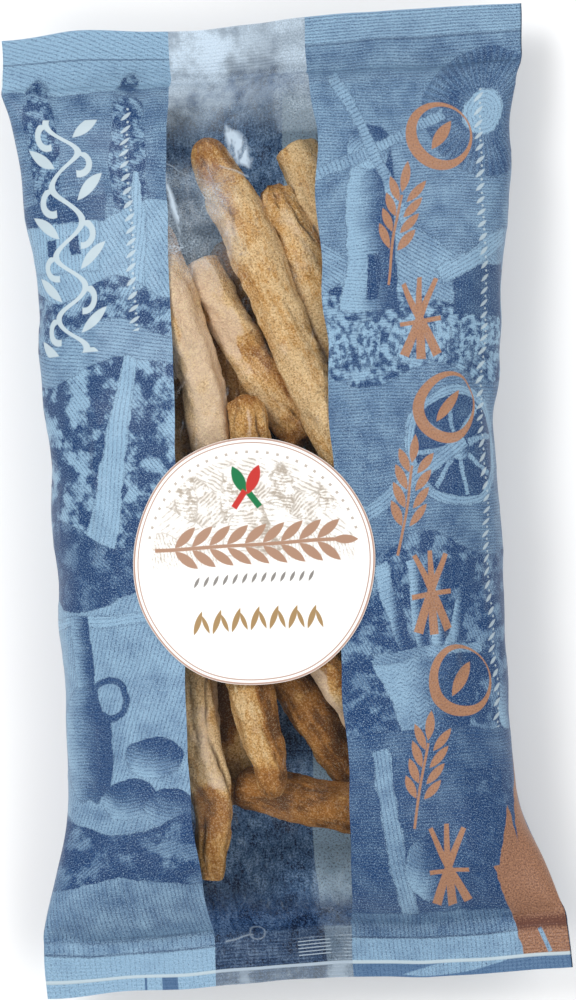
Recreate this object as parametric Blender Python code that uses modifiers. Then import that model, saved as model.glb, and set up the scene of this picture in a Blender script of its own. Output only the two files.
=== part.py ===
"""A sealed film pack of hand-pulled breadsticks, lying on its back with the clear window up.

Blender 4.5, metres, +Z up. X runs across the pack, Y along it towards its top end, and the origin is
under the middle of the pack, on the table. The pack is a tube of film that is pressed flat and sealed
at both ends. The film doesn't stretch, so each section across the tube keeps the same length around,
and the pack gets narrower where the breadsticks make it thicker.
"""

import math

import bmesh
import bpy
import numpy as np
from mathutils import Vector
from mathutils.bvhtree import BVHTree

# Driving dimensions.
PACK_LENGTH = 0.256
FLAT_WIDTH = 0.140  # of the empty tube, and so of both fins
FULL_HEIGHT = 0.048  # over the thickest part
TOP_FIN = 0.0150  # length of the pressed seal at the top end
BOTTOM_FIN = 0.0150
TOP_TAPER = 0.170  # from the top seal to the full height
BOTTOM_TAPER = 0.055
FIN_THICKNESS = 0.0008
FIN_HEIGHT = 0.0170  # of both fins above the table
LABEL_DIAMETER = 0.0640
LABEL_THICKNESS = 0.0004
LABEL_CENTRE = (-0.0086, -0.0150)
LABEL_GAP = 0.0003

# How the section changes from the flat seals to the full middle.
FULL_SIDE_SHARE = 0.46  # height of the widest line, as a share of the full height
FULL_EXPONENT = 2.25  # of the section's superellipse where the pack is full
FLAT_EXPONENT = 1.5  # close to a seal, where the section is a thin lens
SETTLE = 0.0045  # how far the round section would reach below the table, so how flat the back lies
TOP_POWER = 0.42  # the tapers' powers, under 1 so that the film leaves a seal at a steep angle
BOTTOM_POWER = 0.60

# Waves of the fins, and folds that fan out from the seals.
FIN_WAVE = 0.0016
FOLD_DEPTH = 0.0011
FOLD_PEAK = 0.013  # distance from the seal at which the folds are deepest
TOP_FOLDS = 4.5  # folds across the width
BOTTOM_FOLDS = 5.5

# Long low ridges where the film lies on the breadsticks: middle x and y, lean from Y, length, height.
RIDGE_WIDTH = 0.0085
RIDGES = (
    (-0.004, 0.052, 20.0, 0.110, 0.0012),
    (-0.026, 0.010, 10.0, 0.120, 0.0010),
    (0.034, -0.012, 12.0, 0.130, 0.0010),
    (0.004, -0.066, -8.0, 0.070, 0.0009),
)

# Mesh density.
ACROSS = 34  # faces across the front, and as many across the back
FIN_ROWS = 4
END_LENGTH = 0.055  # of the finely divided stretch next to each seal
END_ROWS = 15
MIDDLE_ROWS = 18
CURVE_SAMPLES = 241
LABEL_RINGS = 6
LABEL_SEGMENTS = 40

FILM_COLOUR = (0.17, 0.30, 0.47, 1.0)
LABEL_COLOUR = (0.90, 0.89, 0.87, 1.0)

TOP_SEAL = PACK_LENGTH / 2 - TOP_FIN
BOTTOM_SEAL = -PACK_LENGTH / 2 + BOTTOM_FIN


def clear_scene():
    for obj in list(bpy.data.objects):
        bpy.data.objects.remove(obj, do_unlink=True)


def make_collection(name):
    collection = bpy.data.collections.new(name)
    bpy.context.scene.collection.children.link(collection)
    return collection


def make_material(name, colour, roughness):
    material = bpy.data.materials.new(name)
    material.use_nodes = True
    shader = material.node_tree.nodes["Principled BSDF"]
    shader.inputs["Base Color"].default_value = colour
    shader.inputs["Roughness"].default_value = roughness
    shader.inputs["Metallic"].default_value = 0.0
    return material


def fullness(y):
    """0 at both seals and beyond them, 1 where the pack has its full height."""
    from_top = min(max((TOP_SEAL - y) / TOP_TAPER, 0.0), 1.0)
    from_bottom = min(max((y - BOTTOM_SEAL) / BOTTOM_TAPER, 0.0), 1.0)
    top_share = math.sin(math.pi / 2 * from_top) ** TOP_POWER
    return top_share * math.sin(math.pi / 2 * from_bottom) ** BOTTOM_POWER


def lens(x, half_width, exponent):
    """Height of the unit superellipse over x, from 1 in the middle to 0 at both edges."""
    share = np.clip(np.abs(x) / half_width, 0.0, 1.0)
    return (1.0 - share**exponent) ** (1.0 / exponent)


def fin_wave(x, y):
    """The fins ripple, as pressed film does, and the ripple fades into the filled part."""
    phase = 0.6 if y > 0 else 2.2
    return FIN_WAVE * math.sin(2 * math.pi * x / FLAT_WIDTH * 1.5 + phase)


def fold(x, y):
    """Folds that start at a seal, deepen, and fade towards the middle of the pack."""
    top = y > 0
    distance = (TOP_SEAL - y) if top else (y - BOTTOM_SEAL)
    if distance <= 0:
        return 0.0
    reach = distance / FOLD_PEAK * math.exp(1 - distance / FOLD_PEAK)
    count = TOP_FOLDS if top else BOTTOM_FOLDS
    return FOLD_DEPTH * reach * math.cos(2 * math.pi * count * x / FLAT_WIDTH + (0.9 if top else 2.4))


def ridge(x, y):
    """Height that the breadsticks under the film add to the front."""
    total = 0.0
    for middle_x, middle_y, lean, length, height in RIDGES:
        along = Vector((math.sin(math.radians(lean)), -math.cos(math.radians(lean))))
        offset = Vector((x - middle_x, y - middle_y))
        run = abs(offset.dot(along)) / (length / 2)
        side = (offset - along * offset.dot(along)).length / RIDGE_WIDTH
        total += height * math.exp(-(side**2)) * math.exp(-(run**4))
    return total


def section_curves(y, half_width):
    """Front and back of one section as (x, z) arrays, from the left edge to the right edge."""
    full = fullness(y)
    side = FIN_HEIGHT + (FULL_SIDE_SHARE * FULL_HEIGHT - FIN_HEIGHT) * full
    top = FIN_HEIGHT + (FULL_HEIGHT - FIN_HEIGHT) * full
    bottom = FIN_HEIGHT - (FIN_HEIGHT + SETTLE) * full
    exponent = FLAT_EXPONENT + (FULL_EXPONENT - FLAT_EXPONENT) * full
    # Closer together towards the edges, where the section turns fastest.
    x = half_width * np.sin(np.linspace(-math.pi / 2, math.pi / 2, CURVE_SAMPLES))
    bulge = lens(x, half_width, exponent)
    front = side + (top - side) * bulge
    back = side + (bottom - side) * bulge
    return x, front, np.maximum(back, 0.0)


def curve_length(x, z):
    return float(np.hypot(np.diff(x), np.diff(z)).sum())


def half_width_at(y):
    """Half the section's width, found so that the film around it is as long as around the flat tube."""
    narrow, wide = FLAT_WIDTH * 0.3, FLAT_WIDTH * 0.5
    for _ in range(40):
        middle = (narrow + wide) / 2
        x, front, back = section_curves(y, middle)
        if curve_length(x, front) + curve_length(x, back) > 2 * FLAT_WIDTH:
            wide = middle
        else:
            narrow = middle
    return (narrow + wide) / 2


def evenly_spaced(x, z, count):
    """The curve's points at count + 1 equal steps along it."""
    run = np.concatenate([[0.0], np.cumsum(np.hypot(np.diff(x), np.diff(z)))])
    steps = np.linspace(0.0, run[-1], count + 1)
    return np.interp(steps, run, x), np.interp(steps, run, z)


def section_points(y):
    """One closed ring of the pack: the front from left to right, then the back from right to left."""
    x, front, back = section_curves(y, half_width_at(y))
    full = fullness(y)
    half_film = FIN_THICKNESS / 2
    front_x, front_z = evenly_spaced(x, front, ACROSS)
    back_x, back_z = evenly_spaced(x, back, ACROSS)
    ring = []
    for px, pz in zip(front_x, front_z):
        edge_share = 1 - (abs(px) / front_x[-1]) ** 2
        lift = fin_wave(px, y) * (1 - full) ** 2 + (fold(px, y) + ridge(px, y) * full) * edge_share
        ring.append(Vector((px, y, pz + lift + half_film)))
    for px, pz in zip(back_x[::-1], back_z[::-1]):
        edge_share = 1 - (abs(px) / front_x[-1]) ** 2
        lift = fin_wave(px, y) * (1 - full) ** 2 - fold(px, y) * edge_share * (1 - full)
        ring.append(Vector((px, y, max(pz + lift - half_film, 0.0))))
    return ring


def station_ys():
    """Y of each section, closest together where the pack thickens fastest."""
    bottom_fin = np.linspace(-PACK_LENGTH / 2, BOTTOM_SEAL, FIN_ROWS + 1)
    top_fin = np.linspace(TOP_SEAL, PACK_LENGTH / 2, FIN_ROWS + 1)
    eased = np.linspace(0.0, 1.0, END_ROWS + 1) ** 1.5
    bottom_end = BOTTOM_SEAL + END_LENGTH * eased
    top_end = (TOP_SEAL - END_LENGTH * eased)[::-1]
    middle = np.linspace(BOTTOM_SEAL + END_LENGTH, TOP_SEAL - END_LENGTH, MIDDLE_ROWS + 1)
    return np.concatenate([bottom_fin[:-1], bottom_end[:-1], middle[:-1], top_end[:-1], top_fin])


def make_bag(collection, material):
    """The film pack as one closed solid, lofted through its sections from bottom to top."""
    mesh = bmesh.new()
    rings = [[mesh.verts.new(point) for point in section_points(float(y))] for y in station_ys()]
    around = len(rings[0])
    for low, high in zip(rings, rings[1:]):
        for i in range(around):
            j = (i + 1) % around
            mesh.faces.new((low[i], low[j], high[j], high[i]))
    for ring in (rings[0], rings[-1]):
        for i in range(ACROSS):
            mesh.faces.new((ring[i], ring[i + 1], ring[around - 2 - i], ring[around - 1 - i]))
    bmesh.ops.recalc_face_normals(mesh, faces=mesh.faces)
    data = bpy.data.meshes.new("bag")
    mesh.to_mesh(data)
    mesh.free()
    data.shade_smooth()
    data.set_sharp_from_angle(angle=math.radians(50))
    data.materials.append(material)
    bag = bpy.data.objects.new("bag", data)
    collection.objects.link(bag)
    return bag


def make_label(collection, material, bag):
    """The round paper label, bent to the front of the pack and lying a small gap above it."""
    surface = BVHTree.FromPolygons(
        [v.co.copy() for v in bag.data.vertices], [tuple(p.vertices) for p in bag.data.polygons]
    )

    def on_pack(x, y):
        hit, normal, _, _ = surface.ray_cast(Vector((x, y, 1.0)), Vector((0.0, 0.0, -1.0)))
        return hit + normal * LABEL_GAP

    mesh = bmesh.new()
    middle = mesh.verts.new(on_pack(*LABEL_CENTRE))
    rings = []
    for r in range(1, LABEL_RINGS + 1):
        radius = LABEL_DIAMETER / 2 * r / LABEL_RINGS
        turns = [2 * math.pi * i / LABEL_SEGMENTS for i in range(LABEL_SEGMENTS)]
        rings.append(
            [
                mesh.verts.new(
                    on_pack(
                        LABEL_CENTRE[0] + radius * math.cos(turn),
                        LABEL_CENTRE[1] + radius * math.sin(turn),
                    )
                )
                for turn in turns
            ]
        )
    for i in range(LABEL_SEGMENTS):
        j = (i + 1) % LABEL_SEGMENTS
        mesh.faces.new((middle, rings[0][i], rings[0][j]))
        for inner, outer in zip(rings, rings[1:]):
            mesh.faces.new((inner[i], outer[i], outer[j], inner[j]))
    data = bpy.data.meshes.new("label")
    mesh.to_mesh(data)
    mesh.free()
    data.materials.append(material)
    label = bpy.data.objects.new("label", data)
    collection.objects.link(label)
    sheet = label.modifiers.new("thickness", "SOLIDIFY")
    sheet.thickness = LABEL_THICKNESS
    sheet.offset = 1.0
    return label


def main():
    clear_scene()
    collection = make_collection("breadstick_pack")
    bag = make_bag(collection, make_material("printed_film", FILM_COLOUR, 0.3))
    make_label(collection, make_material("label_paper", LABEL_COLOUR, 0.5), bag)


main()
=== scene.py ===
"""Looks of the sealed breadstick pack: film, print, label and the breadsticks inside.

Blender 4.5, metres, in the frame of the CAD model: X across the pack, Y towards its top end, Z up out of
the front. The film is a tube that was pressed flat and sealed at both ends. A place on it is given by two
flat coordinates: q, the distance around the tube from its left edge (front first, then the back from right
to left), and v, the distance along it, which is Y on the flat film.
"""

import math

import bpy
import numpy as np
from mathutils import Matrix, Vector


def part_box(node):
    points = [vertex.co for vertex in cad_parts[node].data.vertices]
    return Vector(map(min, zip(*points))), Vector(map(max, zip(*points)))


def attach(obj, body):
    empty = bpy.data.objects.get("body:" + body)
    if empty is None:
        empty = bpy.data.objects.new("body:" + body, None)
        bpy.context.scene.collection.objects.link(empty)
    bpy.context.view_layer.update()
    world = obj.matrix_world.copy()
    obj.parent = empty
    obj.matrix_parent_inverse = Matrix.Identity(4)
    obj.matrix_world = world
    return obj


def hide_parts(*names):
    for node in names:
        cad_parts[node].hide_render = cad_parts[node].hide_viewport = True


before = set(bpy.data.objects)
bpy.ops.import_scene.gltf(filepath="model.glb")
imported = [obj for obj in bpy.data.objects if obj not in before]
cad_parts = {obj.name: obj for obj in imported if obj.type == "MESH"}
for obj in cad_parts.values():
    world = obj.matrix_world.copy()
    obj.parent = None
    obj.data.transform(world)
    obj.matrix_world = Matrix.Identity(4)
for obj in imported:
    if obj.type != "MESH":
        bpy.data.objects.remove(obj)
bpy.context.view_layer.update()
bag_low, bag_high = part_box("bag")
label_low, label_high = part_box("label")

# ---------------------------------------------------------------- the pack's sizes, from the CAD model
PACK_LENGTH = bag_high.y - bag_low.y
FLAT_WIDTH = bag_high.x - bag_low.x  # of the empty tube, and so of both fins
FULL_HEIGHT = 0.048  # over the thickest part
FIN_LENGTH = 0.0150  # of the pressed seal at each end
FIN_HEIGHT = 0.0170  # of both fins above the table
TOP_SEAL = PACK_LENGTH / 2 - FIN_LENGTH
BOTTOM_SEAL = -TOP_SEAL
LABEL_RADIUS = (label_high.x - label_low.x) / 2
LABEL_X = (label_high.x + label_low.x) / 2
LABEL_Y = (label_high.y + label_low.y) / 2

# How the section changes from the flat seals to the full middle.
TOP_TAPER, BOTTOM_TAPER = 0.170, 0.045  # from each seal to the full height
TOP_POWER, BOTTOM_POWER = 0.33, 0.60
FULL_SIDE_SHARE = 0.46  # height of the widest line, as a share of the full height
FULL_EXPONENT, FLAT_EXPONENT = 2.25, 1.5
SETTLE = 0.0045  # how far the round section would reach below the table
LEAN_LEFT = 0.0024  # the full middle sits this far left of the fins' middle
BOW = 0.0016  # and two stretches of it lie this much further right
FIN_WAVE = 0.0016
TOP_FIN_SHRINK = 0.009
DENT, DENT_Y, DENT_REACH = 0.0008, 0.016, 0.007  # of the right side, beside the label

# The clear window's edges on the flat film, at the seals and where the pack is full.
WINDOW_LEFT_SEAL, WINDOW_LEFT_FULL = -0.0242, -0.0256
WINDOW_RIGHT_SEAL, WINDOW_RIGHT_FULL = 0.0120, 0.0158

FILM_THICKNESS = 0.00005
FILM_GAP = 0.00002  # between the front and the back where they are sealed
RIB_PITCH = 0.00095  # of the ribs pressed into the fins
RIB_HEIGHT = 0.00011
CRIMP = 0.0122  # length of the ribbed part at each end
SEAM_LEFT, SEAM_RIGHT = 0.0052, 0.0147  # the back seam, as seen from the front

STICK_GAP = 0.0006  # between a stick and the film, before the film is simulated
START_LIFT = 0.0004  # least height of the front film over the sticks, before it is simulated
FILM_LIFT = 0.00035  # and after
TOUCH_REACH = 0.0012  # film this close to a stick lies on it
HALF_LAYER = 0.0001  # half the distance between the front and the back of flat film in the simulation
LOWEST_FILM = 0.0006  # above the table
# How firmly each part of the film is held in its first shape while it is simulated.
HOLD_FIN, HOLD_OVER_STICKS, HOLD_FRONT, HOLD_BACK = 0.6, 0.08, 0.006, 0.05

# ---------------------------------------------------------------- mesh density
SIM_ACROSS = 62  # faces across the front of the simulated film
SIM_ROWS = 114
STEP_Q, STEP_V = FLAT_WIDTH / SIM_ACROSS, PACK_LENGTH / SIM_ROWS  # size of its faces
FRAMES = 25  # of the simulation
RIPPLE = 0.0004  # usual size of the ripple that the simulation starts from
CELL = 0.0008  # of the grid that holds the sticks' heights
FIN_ROWS = 62
BODY_ROWS = 270
LEFT_COLUMNS, WINDOW_COLUMNS, RIGHT_COLUMNS, BACK_COLUMNS = 46, 52, 58, 76


# ================================================================ shape of the pack
def fullness(y):
    """0 at both seals and beyond them, 1 where the pack has its full height."""
    from_top = np.clip((TOP_SEAL - y) / TOP_TAPER, 0.0, 1.0)
    from_bottom = np.clip((y - BOTTOM_SEAL) / BOTTOM_TAPER, 0.0, 1.0)
    top_share = np.sin(math.pi / 2 * from_top) ** TOP_POWER
    return top_share * np.sin(math.pi / 2 * from_bottom) ** BOTTOM_POWER


def section_heights(x, y, half_width):
    """Heights of the front and the back over x, which is measured from the section's own middle."""
    full = fullness(y)
    side = FIN_HEIGHT + (FULL_SIDE_SHARE * FULL_HEIGHT - FIN_HEIGHT) * full
    top = FIN_HEIGHT + (FULL_HEIGHT - FIN_HEIGHT) * full
    bottom = FIN_HEIGHT - (FIN_HEIGHT + SETTLE) * full
    exponent = FLAT_EXPONENT + (FULL_EXPONENT - FLAT_EXPONENT) * full
    share = np.clip(np.abs(x) / half_width, 0.0, 1.0)
    bulge = (1.0 - share**exponent) ** (1.0 / exponent)
    return side + (top - side) * bulge, np.maximum(side + (bottom - side) * bulge, 0.0003)


def half_width_at(y):
    """Half the section's width, so that the film around it is as long as around the flat tube."""
    narrow, wide = FLAT_WIDTH * 0.3, FLAT_WIDTH * 0.5
    turn = np.sin(np.linspace(-math.pi / 2, math.pi / 2, 241))
    for _ in range(30):
        middle = (narrow + wide) / 2
        x = middle * turn
        around = sum(np.hypot(np.diff(x), np.diff(z)).sum() for z in section_heights(x, y, middle))
        if around > 2 * FLAT_WIDTH:
            wide = middle
        else:
            narrow = middle
    return (narrow + wide) / 2


def bow(y):
    """Where the pack bows to the right: above the label, and less below it."""
    return BOW * (np.exp(-(((y - 0.066) / 0.038) ** 2)) + 0.6 * np.exp(-(((y + 0.062) / 0.030) ** 2)))


def middle_line(y):
    """x of the section's middle."""
    return bow(y) - LEAN_LEFT * fullness(y)


WIDTH_ROWS = np.linspace(BOTTOM_SEAL, TOP_SEAL, 80)
HALF_WIDTHS = np.array([half_width_at(y) for y in WIDTH_ROWS])


def film_heights(x, y):
    """Heights of the front and the back over a point of the table, before the film is simulated."""
    half_width = np.interp(y, WIDTH_ROWS, HALF_WIDTHS)
    return section_heights(x - middle_line(y), y, half_width)


def evenly_spaced(x, z, count):
    """The curve's points at count + 1 equal steps along it."""
    run = np.concatenate([[0.0], np.cumsum(np.hypot(np.diff(x), np.diff(z)))])
    steps = np.linspace(0.0, run[-1], count + 1)
    return np.interp(steps, run, x), np.interp(steps, run, z)


def ease(value, start, end):
    """0 at start and 1 at end, with a smooth change between them."""
    t = np.clip((value - start) / (end - start), 0.0, 1.0)
    return t * t * (3 - 2 * t)


# ================================================================ noise
def lattice_noise(a, b, seed):
    """Smooth noise between about -1 and 1 over two coordinates, in lattice steps; it repeats."""
    size = 64
    values = np.random.default_rng(seed).uniform(-1, 1, (size, size))
    ia, ib = np.floor(a).astype(int), np.floor(b).astype(int)
    fa, fb = a - ia, b - ib
    fa, fb = fa * fa * (3 - 2 * fa), fb * fb * (3 - 2 * fb)
    at = lambda i, j: values[i % size, j % size]
    low = at(ia, ib) * (1 - fa) + at(ia + 1, ib) * fa
    high = at(ia, ib + 1) * (1 - fa) + at(ia + 1, ib + 1) * fa
    return low * (1 - fb) + high * fb


# ================================================================ breadsticks
def cubic_weights(t):
    """Catmull-Rom weights of the four neighbours for a share t between the middle two."""
    return np.stack([-0.5 * t + t**2 - 0.5 * t**3, 1 - 2.5 * t**2 + 1.5 * t**3,
                     0.5 * t + 2 * t**2 - 1.5 * t**3, -0.5 * t**2 + 0.5 * t**3], axis=-1)


class Stick:
    """One breadstick. Its way points (x, y, radius) on the table and its marks are in millimetres.

    A mark is (kind, from, to, left, right, amount): distances along the stick from its first end, and
    sides from -1 at its left to 1 at its right as the camera sees it. The kind "groove" is a crevice that
    runs from the left value to the right one, and the crust paints it dark as painted shade; the others
    are patches.
    """

    def __init__(self, name, way, toast=0.4, flour=0.2, sink=0.0, ends=("round", "round"),
                 end_toast=(0.4, 0.4), marks=()):
        self.name, self.seed, self.marks = name, ord(name), marks
        self.toast, self.flour, self.end_toast = toast, flour, end_toast
        self.sink, self.ends = sink / 1000, ends
        way = np.array(way, float) / 1000
        way = np.concatenate([2 * way[:1] - way[1:2], way, 2 * way[-1:] - way[-2:-1]])
        t = np.linspace(0, len(way) - 3, 300)
        i = np.minimum(t.astype(int), len(way) - 4)
        weights = cubic_weights(t - i)
        self.dense = sum(weights[:, k:k + 1] * way[i + k] for k in range(4))
        steps = np.hypot(*np.diff(self.dense[:, :2], axis=0).T)
        self.run = np.concatenate([[0.0], np.cumsum(steps)])
        self.length = self.run[-1]
        self.base, self.rise, self.arch = 0.0, 0.0, 0.0

    def places(self, s):
        """x, y, z and radius of the spine at shares s of its length."""
        x, y, radius = (np.interp(s * self.length, self.run, column) for column in self.dense.T)
        return x, y, self.base + self.rise * s + 4 * self.arch * s * (1 - s), radius


# Sticks seen through the window, from the top layer down, then those behind the printed panels.
# The toast settings and marks are partly real toasting and partly painted shade: they darken the deeper
# sticks, which lie in shade, and the shaded right sides of several sticks.
STICKS = [
    Stick("a", [(-16.8, 96.6, 4), (-12.9, 86.2, 4.9), (-7.2, 75.4, 5.7), (0, 53.4, 6),
                (6.7, 34.3, 6), (13.1, 19.4, 6), (40, -50, 5.8)],
          toast=0.24, flour=0.05, end_toast=(0.4, 0.4),
          marks=[("toast", -3, 12, -1, 1, 0.4), ("toast", 10, 17, 0.1, 0.9, 0.25),
                 ("flour", 12, 34, -1, -0.45, 0.7), ("groove", 11, 34, -0.5, -0.36, 0.7),
                 ("toast", 13, 24, -0.45, -0.1, 0.3), ("groove", 44, 62, 0.55, 0.75, 0.5),
                 ("flour", 60, 84, -0.5, 0.3, 0.3), ("lump", 14, 38, -1, -0.35, 1.1)]),
    Stick("g", [(-9.2, 29, 4.7), (-8.4, 22, 5.4), (-7.6, 4, 5.4), (-7.2, -8, 5.2)],
          toast=0.42, flour=0, end_toast=(0.15, 0.3), sink=0.5, ends=("broken", "round"),
          marks=[("flour", 3, 14, -0.15, 0.2, 1.2), ("groove", 3, 16, 0.35, 0.55, 0.9),
                 ("groove", 1, 10, -0.5, -0.75, 0.7), ("toast", 0, 6, 0.1, 0.9, 0.35)]),
    Stick("e", [(-31.8, 75.4, 4.4), (-29.2, 66.5, 5.2), (-24.4, 50, 5.7), (-21.3, 38.3, 5.8),
                (-18.2, 17, 5.8), (-16.6, 5, 5.6)],
          toast=0.06, flour=0.72, end_toast=(0.9, 0.3),
          marks=[("toast", 0, 11, -1, 1, 0.85), ("toast", 20, 34, -0.5, -0.2, 0.5),
                 ("groove", 22, 38, -0.42, 0, 0.5), ("flour", 30, 70, -0.4, 1, 0.35),
                 ("lump", 20, 36, -0.8, 0, 0.5), ("lump", 44, 60, 0.3, 1, 0.6)]),
    Stick("d", [(-18.8, 64.4, 5.6), (-15.2, 54.5, 5.6), (-9.3, 43, 5.4), (-3.3, 32.1, 5.3),
                (2.7, 22.6, 5.3), (7.4, 14.8, 5.6)],
          toast=0.36, flour=0.05, sink=1, ends=("blunt", "broken"), end_toast=(0.1, 0.45),
          marks=[("flour", -3, 24, -1, 0.35, 0.85), ("flour", 20, 32, -1, -0.4, 0.5),
                 ("toast", 24, 44, -0.3, 1, 0.18), ("toast", 44, 60, -1, 1, 0.25),
                 ("groove", 43, 56, 0.1, 0.3, 0.9), ("groove", 45, 58, -0.5, -0.2, 0.7),
                 ("groove", 46, 57, 0.6, 0.55, 0.7), ("flour", 40, 54, -0.1, 0.1, 0.4),
                 ("lump", 22, 40, 0.1, 1, 0.7), ("lump", 44, 58, -1, -0.2, 0.7)]),
    Stick("b", [(-0.2, 83.6, 4.2), (3.4, 76, 4.8), (7.3, 68.3, 5.2), (9.8, 60, 5.3),
                (13.4, 42, 5.4), (22, 20, 5.5), (45, -32, 5.5)],
          toast=0.3, flour=0.15, sink=1.2, ends=("broken", "round"), end_toast=(0.25, 0.4),
          marks=[("toast", 0, 8, -0.3, 1, 0.25), ("groove", 6, 20, 0.55, 0.75, 0.9),
                 ("groove", 0, 9, 0.2, -0.3, 0.9), ("flour", 9, 26, -0.6, 0.3, 0.4),
                 ("lump", 7, 22, -1, 0, 0.9), ("lump", 26, 44, 0.3, 1, 0.6)]),
    Stick("c", [(7.6, 93.6, 5.4), (14.7, 77.5, 5.8), (21.2, 65.3, 5.9), (42, 20, 5.8)],
          toast=0.04, flour=0.34, sink=1, ends=("blunt", "round"), end_toast=(0.1, 0.3),
          marks=[("groove", 4, 26, -0.35, -0.6, 0.5), ("lump", 10, 22, -1, 0, 0.6)]),
    Stick("l", [(-17.8, -16, 5.6), (-13.6, -39.1, 6.1), (-10.9, -51, 6.2), (-9.1, -60.6, 5.9),
                (-7.6, -69, 4.9), (-6.3, -77.6, 3.7)],
          toast=0.44, flour=0.05, sink=0.5, end_toast=(0.4, 0.25),
          marks=[("toast", 24, 58, 0.25, 1, 0.5), ("toast", 54, 66, -1, 1, 0.3),
                 ("flour", 30, 52, -0.8, -0.1, 0.3), ("groove", 46, 56, 0.2, 0.7, 0.7),
                 ("lump", 34, 50, -1, 0, 0.6), ("lump", 50, 60, 0.2, 1, 0.7)]),
    Stick("j", [(-28.4, 38, 4.8), (-27.6, 28, 5.3), (-26.4, 12, 5.6), (-25.6, -35.2, 5.6),
                (-26.2, -58, 5.7), (-24.8, -69, 5.6), (-22.9, -76, 5.4), (-22.8, -82.5, 4.7),
                (-23.4, -89.5, 3.9), (-24, -98.9, 2.9)],
          toast=0.1, flour=0.42, sink=0.8, ends=("round", "blunt"), end_toast=(0.5, 0.1),
          marks=[("toast", -2, 34, -1, 1, 0.5), ("groove", 74, 98, 0.55, 0.4, 1),
                 ("groove", 98, 117, 0.4, 0.85, 1), ("groove", 80, 104, -0.25, 0, 0.8),
                 ("toast", 76, 98, 0.6, 1, 0.25), ("flour", 92, 114, 0, 0.6, 0.4),
                 ("flour", 113, 150, -1, 1, -0.6), ("toast", 113, 122, -1, 1, 0.6),
                 ("toast", 121, 150, -1, 1, 0.4), ("groove", 119, 132, -0.5, -0.7, 1),
                 ("lump", 92, 113, 0.1, 1, 0.8), ("lump", 119, 128, 0.3, 1, 0.6)]),
    Stick("o", [(-1, -25, 5.3), (9.9, -43.6, 5.6), (13.2, -49.8, 5.7), (19.6, -60.6, 5.7),
                (28, -74, 5.4)],
          toast=0.38, flour=0.1, sink=1,
          marks=[("flour", 10, 46, -1, -0.55, 1), ("toast", 10, 50, -0.3, 1, 0.15)]),
    Stick("m", [(-15.6, -75, 5), (-6, -77, 5.7), (0.3, -78.8, 6.1), (11.9, -81.4, 6.7),
                (42, -88, 6.2)],
          toast=0.8, flour=0, sink=2.2, ends=("blunt", "round"), end_toast=(0.5, 0.4),
          marks=[("toast", 8, 50, 0.3, 1, 0.22), ("lump", 18, 32, -1, 0, 0.6)]),
    Stick("i", [(9.4, 20.2, 3.6), (11, 12, 4.6), (14, -4, 5)],
          toast=0.18, flour=0.55, sink=2.6, ends=("broken", "round"), end_toast=(0.1, 0.3),
          marks=[("groove", 0, 9, -0.3, 0.4, 0.8)]),
    Stick("n", [(-9, -33, 5.2), (-0.4, -47, 5.4), (5.4, -57.8, 5.5), (12, -68.6, 5.5),
                (17, -77.5, 5.3)],
          toast=0.8, flour=0, sink=2, end_toast=(0.4, 0.4),
          marks=[("toast", 12, 55, 0.1, 1, 0.3), ("flour", 10, 26, -1, -0.35, 0.3),
                 ("lump", 22, 36, 0.2, 1, 0.7)]),
    Stick("k", [(-17, -38, 4.6), (-17.4, -50, 5), (-18, -66, 5.4), (-17, -80, 4.8)],
          toast=0.5, flour=0.1, sink=3, marks=[("toast", -3, 22, -1, 1, 0.8)]),
    Stick("f", [(-17.6, 58, 5), (-12.6, 34, 5.3), (-11.8, 4, 5.3)], toast=0.66, flour=0, sink=3),
    Stick("v", [(-13, 70, 5), (-4.5, 46, 5.4), (4, 22, 5.2)], toast=0.75, flour=0, sink=2),
    Stick("p", [(33, 96, 6), (46, -6, 6.2)], sink=1),
    Stick("q", [(-42, 97, 6.2), (-46, -36, 6.4)], sink=0.5),
    Stick("r", [(-36, 84, 6), (-38, -60, 6.2)], sink=0.5),
    Stick("s", [(44, -18, 6), (42, -98, 6.2)], sink=1),
    Stick("t", [(-46, -44, 6), (-40, -99, 6)], sink=1),
    Stick("u", [(27, 4, 6), (24, -76, 6)], sink=1),
    Stick("w", [(24, 88, 6), (30, 24, 6)], sink=1),
]
SEEN = set("ageldbcjominkfv")


def settle_sticks():
    """Hangs the sticks under the front film one by one, each clear of those above it."""
    s = np.linspace(0.0, 1.0, 61)
    placed = []
    for stick in STICKS:
        x, y, _, radius = stick.places(s)
        front, back = film_heights(x, y)
        ceiling = front - radius - stick.sink - STICK_GAP
        for ox, oy, oz, other_radius in placed:
            apart = np.hypot(x[:, None] - ox, y[:, None] - oy)
            reach = radius[:, None] + other_radius
            drop = np.sqrt(np.maximum(reach**2 - apart**2, 0.0))
            ceiling = np.minimum(ceiling, np.where(apart < reach, oz - drop, 1.0).min(axis=1))
        choices = []
        for arch in np.linspace(-0.006, 0.006, 13):
            for rise in np.linspace(-0.022, 0.022, 45):
                bend = rise * s + 4 * arch * s * (1 - s)
                base = (ceiling - bend).min()
                choices.append(((base + bend).mean() - 0.1 * abs(arch), base, rise, arch))
        _, stick.base, stick.rise, stick.arch = max(choices)
        low = (stick.places(s)[2] - radius - back).min()
        stick.base += max(0.0, STICK_GAP - low)
        placed.append(stick.places(s))


def end_share(distance, radius, kind):
    """Share of the full radius at a distance from a stick's end."""
    reach, power = {"round": (1.15, 2.0), "blunt": (0.28, 2.8), "broken": (0.35, 2.4)}[kind]
    t = np.clip(1 - distance / (radius * reach), 0.0, 1.0)
    return (1 - t**power) ** (1 / power)


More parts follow.
